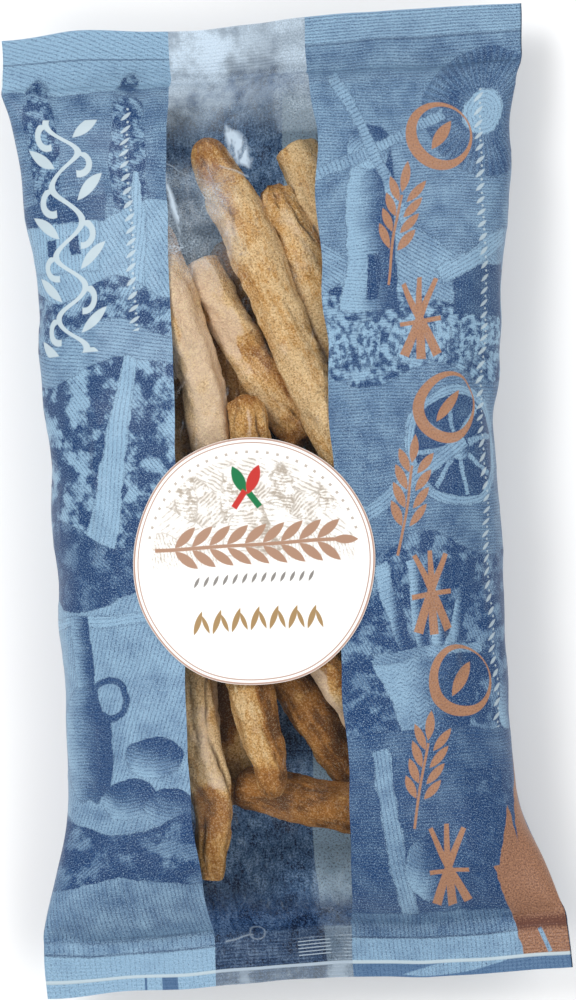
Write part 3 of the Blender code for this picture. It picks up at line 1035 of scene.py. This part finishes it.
def right_scene(paint, place):
    """A mill under the sun, a barn, sheaves, a cart wheel and a basket of breadsticks."""
    hand = wobbly(place, 2.2, 0.14)
    x, y = hand.parts()[:2]
    art = Engraving(paint, place, 0.52, 90, 0.80)
    art.lay(hand.away(60, 100) - 17, 0.36, art.rays(60, 100, 52), edge=0.1)
    art.lay(hand.away(60, 100) - 6, 0.84, art.rings(60, 100, 1.1))
    art.lay(y - 66 - (x * 0.21).sine() * 4, 0.62, (58, 0.9))
    art.lay(y - 54 + (x * 0.14 + 1.0).sine() * 5, art.leaves(0.30), art.rings(28, -20, 0.85))
    # The mill: a round tower, its cap and two crossed sails.
    art.lay(bar(hand, 27, 70, 88, 21, 6.6, 0.05), art.lit(27, 70, 6), (90, 0.85))
    art.lay(bar(hand, 27, 58, 90, 5, 1.6), 0.12, (90, 0.9))
    art.lay(hand.away(27, 92) - 6.2, art.lit(27, 92, 6, 60), art.rings(27, 88, 0.85))
    for angle in (24, 114):
        art.lay(bar(hand, 28, 91, angle, 23, 1.5), 0.66, (angle, 1.1))
    # A barn behind rows of sheaves.
    art.lay(bar(hand, 58, 53, 0, 9, 7), 0.24, (0, 0.85))
    art.lay(bar(hand, 56, 62, 28, 12, 2.4), 0.74, (118, 0.9))
    sheaves = repeated(hand.moved(16, 40), x=9.5)
    art.lay(oval(sheaves, 0, 0, 6.5, 3.6), art.leaves(0.5, 0.3, 0.9), (x * 3.3).sine() * 6 + y * 0.4)
    art.lay(y - 31 - (x * 0.17 + 0.4).sine() * 3, 0.50, (90, 0.85))
    # A cart wheel, a pole and a hill.
    wheel = hand.away(50, 12)
    art.lay(wheel - 16, 0.74, art.rings(50, 12, 1.0))
    art.lay(wheel - 13.4, 0.20, art.rays(50, 12, 60))
    for angle in (10, 55, 100, 145):
        art.lay(bar(hand, 50, 12, angle, 13, 0.7), 0.72, (angle, 1.0))
    art.lay(wheel - 3.4, art.lit(50, 12, 3, 40), art.rings(50, 12, 0.9))
    art.lay(bar(hand, 30, 0, 32, 26, 1.9), 0.70, (122, 1.0))
    art.lay(y + 14 - (x * 0.15 + 2.0).sine() * 4, art.leaves(0.22, 0.1, 0.6), (24, 0.85))
    # A basket of breadsticks on a table of planks, with a post and a jar in front.
    for tilt, middle in ((104, 30), (93, 36), (82, 42), (70, 48)):
        art.lay(bar(hand, middle, -32, tilt, 15, 1.9), art.lit(middle, -32, 2), (tilt, 1.0))
    weave = art.hatch(90, 1.2) + (x * 1.7).sine() * 3
    art.lay(bar(hand, 39, -52, 270, 10, 13, 0.35), art.lit(39, -52, 13), weave)
    art.lay(bar(hand, 39, -41.5, 0, 16, 1.5), 0.68, (60, 0.9))
    art.lay(oval(hand, 64, -56, 8, 5), art.lit(64, -56, 5, 30), art.rings(62, -50, 0.9))
    art.lay(y + 63 - (x * 0.05).sine() * 1.5, 0.42, (90, 0.85))
    art.lay(bar(hand, 26, -92, 96, 26, 2.2), 0.76, (6, 1.0))
    art.lay(bar(hand, 53, -93, 84, 20, 8.5), art.leaves(0.3, 0.05, 0.4), (64, 0.85))
    art.lay(oval(hand, 34, -98, 9, 6), art.lit(34, -98, 6, 20), art.rings(34, -90, 0.9))
    art.lay(y + 111 - (x * 0.06).sine(), 0.62, (3, 1.1))
    art.lay(y + LOW_BAND, 0.84, (3, 1.1))
    return art


def left_scene(paint, place):
    """Tall trees, a farmhouse, a grove, a jug and a path between hills."""
    hand = wobbly(place, 2.2, 0.14)
    x, y = hand.parts()[:2]
    art = Engraving(paint, place, 0.80, 68, 1.1)
    art.lay(y - 112 + (x * 0.1).sine(), 0.46, (90, 0.85))
    for middle, level, height in ((-36, 84, 34), (-60, 96, 20), (-33, 60, 22)):
        art.lay(oval(hand, middle, level, height, 5.0), art.leaves(0.35, 0.08, 0.62), (70, 0.9))
    art.lay(y - 78 - (x * 0.16).sine() * 3, 0.76, (28, 1.1))
    art.lay(bar(hand, -56, 70, 0, 11, 7), 0.80, (0, 1.1))
    art.lay(bar(hand, -56, 79, 0, 13, 3.0), 0.26, (90, 0.9))
    windows = repeated(hand.moved(-59.5, 70), x=7.0)
    art.lay(bar(windows, 0, 0, 90, 2.4, 1.3).both(abs(x + 56) - 9), 0.1, (90, 0.9))
    art.lay(bar(hand, -35, 62, 87, 26, 2.2, 0.05), 0.84, (-8, 1.1))
    art.lay(y - 58 + (x * 0.19).sine() * 3, art.leaves(0.25, 0.1, 0.7), (-32, 0.85))
    art.lay(y - 46 - (x * 0.13 + 1.0).sine() * 4, 0.60, (80, 0.95))
    art.lay(y - 36 - (x * 0.12).sine() * 3, art.leaves(0.16, 0.05, 0.75), (40, 0.9))
    art.lay(bar(hand, -44, 10, 78, 30, 3.4, 0.05), 0.84, (-8, 1.2))
    art.lay(y + 6 + (x * 0.16 + 2.0).sine() * 4, art.leaves(0.2, 0.05, 0.45), (50, 0.85))
    art.lay(y + 24 - (x * 0.14).sine() * 3, 0.76, (-20, 1.1))
    art.lay(bar(hand, -50, -29, 4, 24, 1.4), 0.86, (94, 1.0))
    # A jug and loaves on a cloth.
    art.lay(bar(hand, -56, -40, 90, 12, 3.4), art.lit(-56, -40, 4), (90, 0.85))
    art.lay((hand.away(-48, -50) - 6).both(4.2 - hand.away(-48, -50)), 0.3, art.rings(-48, -50, 0.9))
    art.lay(oval(hand, -57, -62, 16, 9.5), art.lit(-57, -62, 9), (90, 0.85))
    for middle, level in ((-36, -66), (-44, -76), (-31, -79)):
        loaf = oval(hand, middle, level, 5.4, 8.5)
        art.lay(loaf, art.lit(middle, level, 6, 70), art.rings(middle, level + 14, 0.9))
    art.lay(y + 82 + (x * 0.11 + 0.5).sine() * 3, art.leaves(0.14, 0.1, 0.6), art.rings(-20, -150, 0.85))
    art.lay(y + 99 - (x * 0.1).sine() * 2, 0.70, (8, 1.1))
    art.lay(y + 114, 0.78, (4, 1.3))
    art.lay(y + LOW_BAND, 1.0, (4, 1.3))
    return art


def engrave(paint, place, art):
    """Turns an engraving's tones and strokes into the colours of the print, with its coarse grain."""
    y = place.parts()[1]
    clouds = place.noise(0.16, 4.0, 0.62) - 0.5
    # Paler in a band along each end, with a dark line beside it.
    band = y.step(TOP_BAND - 0.2, TOP_BAND + 0.2, 0, 0.22) + y.step(-LOW_BAND + 0.2, -LOW_BAND - 0.2, 0, 0.06)
    shade = art.tone + clouds * 0.8 + y.step(-120, 60, -0.22, -0.02) + band
    paint.cover(DARK_BLUE, 1.0)
    paint.cover(PALE_BLUE, shade.step(0.06, 0.88))
    grain = place.noise(2.4, 1.0, 0.7) * 0.6 + place.noise(4.5, 0.0) * 0.6 - 0.6
    paint.cover(INK_BLUE, (art.ink() * 0.44 + grain * 2.0).clamped())
    paint.cover(INK_BLUE, shown(abs(y - TOP_BAND).either(abs(y + LOW_BAND)) - 0.25) * 0.5)
    paint.cover(srgb(164, 188, 206), (grain * -2.6 - 0.04).clamped())


def copper_motifs(place):
    """Wheat ears, rings of seeds and tied sticks that step from side to side up the panel."""
    x, y = place.moved(41, -2).parts()[:2]
    step = 24.0
    shapes = []
    for row, middle in enumerate((-7.5, 6.0, -1.0)):
        local = join_parts(place.tree, x - middle, (y - row * step).wrapped(3 * step))
        if row == 0:
            shapes.append(bar(local, 0, -2.5, 78, 11.5, 0.35))
            for k in range(4):
                for side in (-1, 1):
                    cx, cy = 0.4 + 0.95 * k + side * 2.9, -3.0 + 4.3 * k - side * 0.6
                    shapes.append(leaf(local, cx, cy, 78 - side * 32, 3.6, 1.15))
            shapes.append(leaf(local, 3.2, 13.4, 78, 4.0, 1.2))
        elif row == 1:
            shapes.append((local.away(0, 0) - 9.6).both(7.7 - local.away(1.3, 0.7)))
            shapes.append(leaf(local, 0.6, 0.3, 52, 5.4, 1.6))
        else:
            for angle in (66, 90, 114):
                shapes.append(bar(local, 0, 0, angle, 11.0, 0.95, 0.03))
            shapes.append(bar(local, 0, -1.0, 4, 5.4, 0.6))
    return union(shapes).both(abs(y) - 108)


def white_flourish(place):
    """A broad white flourish: a waving stem with curls and leaves on both sides."""
    x, y = place.moved(-54, 72).parts()[:2]
    unit = 17.0
    wave = (y * (2 * math.pi / unit)).sine() * 4.2
    shapes = [abs(x - wave) - 0.95]
    for shift, side in ((0.25, 1), (-0.25, -1)):
        local = join_parts(place.tree, x, (y + shift * unit).wrapped(unit))
        curl = abs(local.away(side * 4.2, 5.2) - 3.0) - 0.85
        shapes.append(curl.both((x - side * 3.4) * -side))
        shapes.append(leaf(local, side * 6.8, -0.6, 90 - side * 50, 5.0, 1.4))
    return union(shapes).both(abs(y) - 31)


def small_border(place, x, y, half_length):
    """A line of small pale leaves in place of small print."""
    local = repeated(place.moved(x, y), y=3.4)
    marks = [leaf(local, 0, 0.4, 38, 1.7, 0.5), local.away(0.5, -1.1) - 0.32]
    return union(marks).both(abs(place.parts()[1] - y) - half_length)


def shown(distance, softness=0.22):
    """1 inside a shape, where its distance is negative, and 0 outside, with a soft edge."""
    return distance.math("MULTIPLY_ADD", -1 / softness, 0.5, clamp=True)


def print_material(name, side):
    paint = Paint(name, roughness=0.40, specular=0.18)
    place = paint.attribute("flat").scaled(1000)
    soft_grain = place.noise(2.6, 1.0, 0.7) * 0.8 + 0.55
    y = place.parts()[1]
    below = y + WHITE_LINE
    if side == "left":
        engrave(paint, place, left_scene(paint, place))
        paint.cover(OFF_WHITE, shown(small_border(place, -36.5, 76, 30)) * 0.8)
        paint.cover(OFF_WHITE, shown(white_flourish(place)) * 0.96)
        # Two small dark marks on the edge.
        marks = bar(place, -36.6, -126.3, 90, 2.0, 2.1).either(bar(place, -43, -126.3, 90, 2.0, 0.3))
        paint.cover(DARK_BLUE, shown(marks.both(below)) * 0.75)
    else:
        if side == "back":
            place = place.moved(140, 0).stretched(-1, 1)
        engrave(paint, place, right_scene(paint, place))
    if side == "right":
        ragged = wobbly(place, 1.5, 0.3)
        patch = union([leaf(ragged, 69, -86, 76, 30, 7), leaf(ragged, 57.5, -98, 84, 15, 2.9),
                       bar(ragged, 64, -111, 100, 14, 9)])
        patch = patch.both(-below).both(-bar(place, 63.3, -120.3, -69, 3.4, 0.6))
        paint.cover(COPPER, (shown(patch) * soft_grain).clamped())
        # The patch has a coarse grain, and painted shade of the film's fold where the fin starts.
        coarse = place.noise(2.2, 1.0, 0.7)
        fold_shade = y.step(-112.4, -115.6) * y.step(-118.2, -116.2)
        paint.cover(DARK_COPPER, shown(patch) * (coarse * 2.4 - 0.82 + fold_shade * 0.7).clamped())
        # Dark under the white line, with a paler shape left in it.
        under = below.both(-leaf(place, 40, -125.6, 6, 15, 1.6))
        paint.cover(DARK_BLUE, shown(under) * 0.62)
        motifs = shown(copper_motifs(place))
        paint.cover(COPPER, (motifs * soft_grain).clamped())
        paint.cover(DARK_COPPER, motifs * (coarse * 1.8 - 0.8).clamped())
        paint.cover(OFF_WHITE, shown(small_border(place, 58.5, 22, 84)) * 0.75)
    # A thin white line just above the bottom edge.
    paint.cover(OFF_WHITE, shown(abs(below) - 0.45) * 0.95)
    paint.bump(place.noise(4.0, 2.0), 0.08, 0.0002)
    return paint.finish()


def navy_clouds(paint, place):
    """Covers with navy that shows a fine grain and paler clouds: the printed film from inside."""
    grain = place.noise(1.9, 3.0, 0.85) - 0.5
    cloudy = place.noise(0.13, 4.0, 0.7) * 0.6 + place.stretched(1.0, 0.35).noise(0.8, 3.0, 0.7) * 0.4
    paint.cover(srgb(84, 130, 184), 1.0)
    paint.cover(srgb(174, 211, 250), (cloudy.step(0.47, 0.63, -0.15, 0.85) + grain * 6.5).clamped())
    paint.cover(srgb(16, 37, 80), (cloudy.step(0.53, 0.39, -0.15, 0.85) - grain * 6.5).clamped())
    return grain


def inside_material():
    """The inside of the printed film, with the pale strip of the back seam."""
    paint = Paint("print_inside", roughness=0.5, specular=0.15)
    place = paint.attribute("flat").scaled(1000)
    x, y = place.parts()[:2]
    grain = navy_clouds(paint, place)
    # The back runs from right to left: its flat x, 140 mm less q, mirrors the front's.
    middle = 140 - (SEAM_LEFT + SEAM_RIGHT) / 2 * 1000
    strip = shown(abs(x - middle) - (SEAM_RIGHT - SEAM_LEFT) / 2 * 1000)
    paint.cover(srgb(200, 232, 255), (strip * (grain * 4.5 + 0.86)).clamped())
    # Pressed flat in the fins it is lit in full, so it is painted darker there.
    paint.cover(srgb(146, 146, 150), abs(y).step(PACK_LENGTH * 500 - 16, PACK_LENGTH * 500 - 13), "MULTIPLY")
    return paint.finish()


def clear_material():
    """Clear film: see-through and glossy, milky where it is pressed or creased, with painted highlights where
    its crinkles, creases and ribs would catch the light, and a painted glare patch.

    Near the fins it lies close to the back, so there it shows the navy of the film behind it, painted on and
    darkened as painted shade.
    """
    paint = Paint("clear_film")
    tree = paint.tree
    place = paint.attribute("flat").scaled(1000)
    tree.nodes.remove(paint.shader)
    clear = shader_output(tree, "BsdfTransparent", {"Color": (0.99, 0.99, 0.99, 1.0)})
    gloss = shader_output(tree, "BsdfGlossy", {"Roughness": 0.16})
    weight = shader_output(tree, "Fresnel", {"IOR": 1.22})
    x, y = place.parts()[:2]
    cloud = place.noise(0.10, 4.0, 0.65)
    grain = place.noise(2.2, 2.0, 0.75).step(0.28, 0.72, 0.2, 1.6)
    streak = place.stretched(1.0, 0.22).noise(0.7, 3.0, 0.65)
    crimp = PACK_LENGTH * 500 - CRIMP * 1000
    seal = TOP_SEAL * 1000
    milky = y.step(93, crimp) * cloud.step(0.32, 0.60, 0.3, 0.9) * x.step(3, -14, 0.55, 1.0)
    top = y.step(crimp - 1, crimp + 1, 0.0, 0.20) + milky * (grain * 0.3 + 0.6)
    left = x.step(-5, -14) * y.step(56, 70) * y.step(93, 84)
    # Painted highlights: a web of thin white lines where crinkles catch the light.
    crinkle_glints = abs(place.noise(0.17, 1.0, 0.5) - 0.5).step(0.012, 0.002) * cloud.step(0.40, 0.55)
    beside = left * (cloud.step(0.35, 0.65) * 0.20 + 0.12 + crinkle_glints * 0.10) + crinkle_glints * y.step(40, 60) * 0.06
    # Painted highlights on the crests of the ribs in the bottom fin, and on a small pressed patch of them.
    ribs = (y * (2 * math.pi / (RIB_PITCH * 1000))).sine().step(0.2, 0.9)
    bottom = y.step(-crimp, -crimp - 1, 0.0, 0.40) * cloud.step(0.42, 0.58) * ribs * x.step(-4, 3, 0.08, 1.0)
    pressed = ribs * bar(place, 2.0, -119.2, 0, 4.6, 2.5).step(0.3, -0.3) * 0.6
    right = x.step(3, 5) * (y.step(95, 97, 0.0, 0.16) + y.step(-92, -100, 0.0, 0.14) * cloud.step(0.35, 0.55))
    haze = (streak.step(0.56, 0.80, 0.0, 0.14) * cloud.step(0.40, 0.60) + beside + right + 0.004) * grain
    # White creases: partly the film's own whitened creases, partly painted glints on them.
    creases = wobbly(place, 2.2, 0.16)
    lines = union([bar(creases, -8, 87, -29, 4.5, 0.13), bar(creases, -19, 87.2, -24, 7.5, 0.13),
                   bar(creases, -17.5, -115.4, 12, 4, 0.2), bar(creases, -13.5, 84, -74, 6, 0.1),
                   abs(creases.away(-12.6, -114.2) - 1.8) - 0.14])
    glare = union([leaf(wobbly(place, 2.4, 0.3), -7.0, 93.4, 118, 6.8, 2.4),
                   leaf(creases, -24.8, 79, 101, 9.0, 0.9)])
    broken = place.stretched(1.0, 0.4).noise(0.5, 2.0, 0.6).step(0.36, 0.54, 0.25, 0.80)
    amount = (haze + top + bottom).both(shown(lines, 0.5) * 0.42).both(shown(glare, 1.4) * broken)
    line = shown(abs(y + WHITE_LINE) - 0.45) * 0.7
    amount = amount.both(line)
    under_line = y.step(-WHITE_LINE + 0.2, -WHITE_LINE - 0.2) * cloud.step(0.4, 0.6, 0.2, 0.5)
    amount = amount.both(under_line).both(pressed).clamped()
    # The colour of what isn't clear: white haze with painted highlights, and next to the seals the navy of
    # the film behind it, darkened all over as painted shade.
    near = abs(y).step(seal - 13, seal - 1, 0.0, 0.8) * abs(y).step(seal + 1.5, seal + 0.5)
    navy_clouds(paint, place)
    paint.cover(srgb(140, 146, 158), 1.0, "MULTIPLY")
    paint.cover(srgb(192, 208, 222), (amount / (near + 0.001)).clamped())
    milky_and_painted_light = shader_output(tree, "BsdfDiffuse", {"Color": paint.colour})
    milky_and_painted_light_share = amount.both(near)
    shine = shader_output(tree, "MixShader", {0: weight, 1: clear, 2: gloss})
    surface = shader_output(tree, "MixShader", {0: milky_and_painted_light_share, 1: shine, 2: milky_and_painted_light})
    connect(tree, surface, tree.nodes["Material Output"].inputs["Surface"])
    return paint.material


def bare_film_material():
    """The clear film's inner face, which adds nothing to the look of its outer one."""
    material = bpy.data.materials.new("clear_film_inside")
    material.use_nodes = True
    tree = material.node_tree
    clear = shader_output(tree, "BsdfTransparent", {})
    connect(tree, clear, tree.nodes["Material Output"].inputs["Surface"])
    return material


def crust_material():
    """Baked crust: pale dough to toasted brown, with bran specks, flour and a coarse grain, and painted shade
    in the grooves, the hollows and on sticks that lie in shade.
    """
    paint = Paint("breadstick_crust", roughness=0.85, specular=0.2)
    toast, flour, groove = paint.attribute("crust").parts()
    place = paint.position()
    mottle = place.noise(430, 4.0, 0.7)
    blotch = place.noise(110, 3.0, 0.6)
    fine = place.noise(2000, 2.0, 0.85)
    streaks = paint.attribute("grain").stretched(0.35, 1.6, 1.0).noise(600, 3.0, 0.6)
    # The brown steps show real toasting and also painted shade, through the toast values.
    level = toast + (mottle - 0.5) * 0.65 + (blotch - 0.5) * 1.2 + (streaks - 0.5) * 0.9
    paint.cover(srgb(238, 203, 150), 1.0)
    paint.cover(srgb(219, 168, 98), level.step(0.05, 0.42))
    paint.cover(srgb(172, 114, 50), level.step(0.42, 0.82))
    paint.cover(srgb(98, 58, 22), level.step(0.82, 1.30))
    powder = flour + (blotch - 0.5) * 0.9 + (mottle - 0.5) * 1.0
    paint.cover(srgb(240, 213, 186), powder.step(0.40, 0.95, 0.0, 0.8))
    bare = powder.step(0.95, 0.40, 0.35, 1.0)
    paint.cover(srgb(124, 78, 38), fine.step(0.50, 0.65, 0.0, 0.58) * bare)
    paint.cover(srgb(255, 234, 190), fine.step(0.50, 0.35, 0.0, 0.70) * toast.step(1.0, 0.2, 0.35, 1.0))
    spots = place.cells(560).step(0.36, 0.12) * place.noise(300, 2.0).step(0.50, 0.60)
    paint.cover(srgb(124, 80, 42), spots * 0.45 * bare)
    # Painted shade in the grooves' crevices.
    paint.cover(srgb(70, 40, 20), groove.step(0.2, 0.9, 0.0, 0.78))
    paint.bump(mottle * 0.8 + place.noise(1500, 3.0, 0.8) * 0.9, 1.0, 0.0009)
    return paint.finish()


def label_material():
    """White coated paper with a double rose-gold ring, a faint engraving and a few ornaments."""
    paint = Paint("label_paper", roughness=0.45, specular=0.3)
    place = paint.attribute("flat").scaled(1000)
    x, y = place.parts()[:2]
    away = place.away(0, 0)
    edge = LABEL_RADIUS * 1000
    paint.cover(srgb(252, 251, 248), 1.0)
    # Faint engraving in the upper half: hills, trees and a hatched sky, fading out below the middle.
    hand = wobbly(place, 1.6, 0.25)
    hx, hy = hand.parts()[:2]
    art = Engraving(paint, hand, 0.70, 64, 1.0)
    art.lay(hy - 20 - (hx * 0.30).sine() * 3, 0.52, (-50, 0.9))
    art.lay(oval(repeated(hand.moved(-4, 17), x=12.5), 0, 0, 8, 3.0), art.leaves(0.5), (80, 0.8))
    art.lay(hy - 13 - (hx * 0.24 + 1).sine() * 3, 0.84, art.rings(0, -20, 1.3))
    art.lay(hy - 7 + (hx * 0.33).sine() * 2, art.leaves(0.3, 0.3, 0.95), (12, 0.9))
    art.lay(bar(hand, 0, 11, 90, 9, 5, 0.4), art.lit(0, 11, 6), (90, 0.9))
    worn = place.noise(0.30, 3.0, 0.7).step(0.34, 0.58)
    faint = worn * y.step(-3, 3) * away.step(27.6, 26.6)
    paint.cover(srgb(196, 184, 170), ((art.tone * -1 + 1.16) * 0.9 * faint).clamped())
    paint.cover(srgb(150, 138, 124), art.ink() * faint * 0.7)
    double_ring = shown(abs(away - edge + 0.34) - 0.26).both(shown(abs(away - edge + 1.35) - 0.17))
    paint.cover(srgb(168, 132, 116), double_ring * 0.95)
    # A faint arc of dots inside the ring, and an emblem of a green and a red leaf.
    turn = y.math("ARCTAN2", x) * 28.2
    beads = (abs(away - 28.4) - 0.38).both(abs(turn.wrapped(2.6)) - 0.38)
    paint.cover(srgb(158, 142, 128), shown(beads.both(6.0 - y)) * 0.8)
    green = leaf(place, -2.2, 21.4, 114, 3.9, 1.5).either(bar(place, 1.3, 16.6, 126, 2.6, 0.8))
    red = leaf(place, 1.4, 21.4, 66, 3.9, 1.5).either(bar(place, -2.3, 16.6, 54, 2.6, 0.8))
    paint.cover(srgb(14, 112, 66), shown(green))
    paint.cover(srgb(188, 48, 42), shown(red))
    # A rose-gold ear of wheat that lies across, a grey line of dots and a tan row of grains.
    ear = [bar(place, -1.0, 4.6, 0, 25, 0.5), leaf(place, 24.5, 4.6, 0, 3.4, 1.2)]
    for k in range(9):
        for side in (-1, 1):
            ear.append(leaf(place, -17.5 + 4.7 * k, 4.6 + side * 2.9, side * 40, 3.9, 1.25))
    paint.cover(srgb(166, 130, 108), shown(union(ear)))
    dots = leaf(repeated(place.moved(0, -4.4), x=2.5), 0, 0, 60, 1.6, 0.45)
    paint.cover(srgb(132, 128, 124), shown(dots.both(abs(x) - 15.8)))
    grains = repeated(place.moved(0.8, -14.8), x=5.0)
    tan = leaf(grains, -1.0, 0, 68, 3.3, 0.8).either(leaf(grains, 1.0, -0.4, 112, 2.6, 0.6))
    paint.cover(srgb(160, 130, 88), shown(tan.both(abs(x - 0.8) - 17.5)))
    paint.bump(place.noise(3.0, 3.0), 0.10, 0.0002)
    return paint.finish()


# ================================================================ label
def make_label(film, material):
    """A disc of paper stuck to the front, bent with the film under it."""
    rings, segments = 26, 120
    lift, thickness = 0.00022, 0.00012
    radii = np.concatenate([np.linspace(0, LABEL_RADIUS, rings)[1:], [LABEL_RADIUS]])
    turn = np.arange(segments) * 2 * math.pi / segments
    q = film.label_q + radii[:, None] * np.cos(turn)[None, :]
    v = film.label_v + radii[:, None] * np.sin(turn)[None, :]
    base, normal = film.surface(q, v)
    lifts = np.full(len(radii), lift + thickness)
    lifts[-1] = lift
    points = base + normal * lifts[:, None, None]
    centre, up = film.surface(np.array([film.label_q]), np.array([film.label_v]))
    under = base[:-2] + normal[:-2] * lift
    count = len(radii)
    everything = np.concatenate([centre + up * (lift + thickness), points.reshape(-1, 3),
                                 centre + up * lift, under.reshape(-1, 3)])
    top = lambda i, j: 1 + i * segments + j % segments
    low_start = 1 + count * segments
    low = lambda i, j: top(count - 1, j) if i == count - 2 else low_start + 1 + i * segments + j % segments
    faces = []
    for j in range(segments):
        faces.append((0, top(0, j), top(0, j + 1)))
        faces.append((low_start, low(0, j + 1), low(0, j)))
        for i in range(count - 1):
            faces.append((top(i, j), top(i + 1, j), top(i + 1, j + 1), top(i, j + 1)))
        for i in range(count - 2):
            faces.append((low(i, j + 1), low(i + 1, j + 1), low(i + 1, j), low(i, j)))
    label = mesh_object("label_disc", everything, faces, [material])
    flat_q = np.concatenate([[film.label_q], q.ravel(), [film.label_q], q[:-2].ravel()]) - film.label_q
    flat_v = np.concatenate([[film.label_v], v.ravel(), [film.label_v], v[:-2].ravel()]) - film.label_v
    add_attribute(label, "flat", np.stack([flat_q, flat_v, 0 * flat_q], axis=-1))
    label.data.set_sharp_from_angle(angle=math.radians(50))
    return label


# ================================================================ stage
def make_stage():
    bpy.ops.mesh.primitive_plane_add(size=6.0, location=(0, 0, 0))
    floor = bpy.context.object
    floor.name = "floor"
    material = bpy.data.materials.new("floor")
    material.use_nodes = True
    shader = material.node_tree.nodes["Principled BSDF"]
    shader.inputs["Base Color"].default_value = (0.94, 0.94, 0.94, 1.0)
    shader.inputs["Roughness"].default_value = 0.9
    shader.inputs["Specular IOR Level"].default_value = 0.1
    floor.data.materials.append(material)


def make_light(name, place, size, watts):
    data = bpy.data.lights.new(name, "AREA")
    data.energy = watts
    data.size = size
    light = bpy.data.objects.new(name, data)
    light.location = place
    light.rotation_euler = (-Vector(place)).to_track_quat("-Z", "Y").to_euler()
    bpy.context.scene.collection.objects.link(light)


def make_lights():
    """Soft boxes on all four sides, set low enough that flat film doesn't mirror them to the camera."""
    world = bpy.data.worlds.new("studio")
    bpy.context.scene.world = world
    world.use_nodes = True
    background = world.node_tree.nodes["Background"]
    background.inputs["Color"].default_value = (1.0, 1.0, 1.0, 1.0)
    background.inputs["Strength"].default_value = 0.50
    make_light("key", (-0.65, 0.60, 1.05), 0.6, 9.5)
    make_light("right", (0.80, 0.45, 1.0), 0.8, 4.3)
    make_light("left", (-0.70, -0.65, 1.0), 0.8, 4.3)
    make_light("front", (0.60, -0.75, 1.0), 0.8, 4.3)


def make_camera():
    """Straight above the pack, a little rolled, as in the photo."""
    distance, roll = 1.4, math.radians(-2.93)
    view_height = 0.2664  # of the picture, at the height of the fins
    data = bpy.data.cameras.new("camera")
    data.sensor_width = 36.0
    data.lens = data.sensor_width * (distance - FIN_HEIGHT) / view_height
    camera = bpy.data.objects.new("camera", data)
    camera.location = (0.00108, 0.00020, distance)
    camera.rotation_euler = (0.0, 0.0, roll)
    bpy.context.scene.collection.objects.link(camera)
    bpy.context.scene.camera = camera


# ================================================================ the whole
def keep(piece, node):
    """Rides a piece on the pack in place of a CAD node, which it hides."""
    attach(piece, "root")
    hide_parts(node)


def main():
    settle_sticks()
    tops = stick_tops()
    start, flat = film_start()
    # The film starts clear of the sticks, and is held a little where it lies on them.
    over = sample_grid(tops, start[:, 0], start[:, 1]) + START_LIFT
    front = np.tile(np.arange(2 * SIM_ACROSS) <= SIM_ACROSS, SIM_ROWS + 1)
    touching = front & (start[:, 2] < over + TOUCH_REACH)
    start[:, 2] = np.where(front, np.maximum(start[:, 2], over), start[:, 2])
    in_fin = np.abs(flat[:, 1]) > TOP_SEAL - 0.001
    hold = np.where(touching, HOLD_OVER_STICKS, np.where(front, HOLD_FRONT, HOLD_BACK))
    hold = np.where(in_fin, HOLD_FIN, hold)
    points = simulate_film(start, flat, hold)
    film = Film(points.reshape(SIM_ROWS + 1, 2 * SIM_ACROSS, 3), tops)

    crust = crust_material()
    upper = make_sticks("breadsticks", SEEN, 0.00088, 50, crust)
    lower = make_sticks("breadsticks_hidden", set(s.name for s in STICKS) - SEEN, 0.003, 24, crust)
    keep(upper, "bag")
    keep(lower, "bag")

    inside = inside_material()
    clear = clear_material()
    # The edges of the film's pieces, as q over v.
    left_edge = lambda v: window_edges(v)[0]
    right_edge = lambda v: window_edges(v)[1]
    at = lambda q: (lambda v: np.full_like(v, q))
    for side, first, last, columns in (("left", at(0.0), left_edge, LEFT_COLUMNS),
                                       ("right", right_edge, at(FLAT_WIDTH), RIGHT_COLUMNS),
                                       ("back", at(FLAT_WIDTH), at(2 * FLAT_WIDTH), BACK_COLUMNS)):
        name = "print_" + side
        piece = film_piece(film, name, first, last, columns, print_material(name, side), inside)
        keep(piece, "bag")
    seam_start = 1.5 * FLAT_WIDTH - SEAM_RIGHT
    seam = film_piece(film, "back_seam", at(seam_start), at(seam_start + SEAM_RIGHT - SEAM_LEFT), 10,
                      print_material("print_seam", "back"), inside, lift=0.0002)
    keep(seam, "bag")
    window = film_piece(film, "window", left_edge, right_edge, WINDOW_COLUMNS, clear, bare_film_material())
    keep(window, "bag")
    label = make_label(film, label_material())
    keep(label, "label")

    make_stage()
    make_lights()
    make_camera()
    bpy.context.scene.view_settings.view_transform = "Standard"


main()
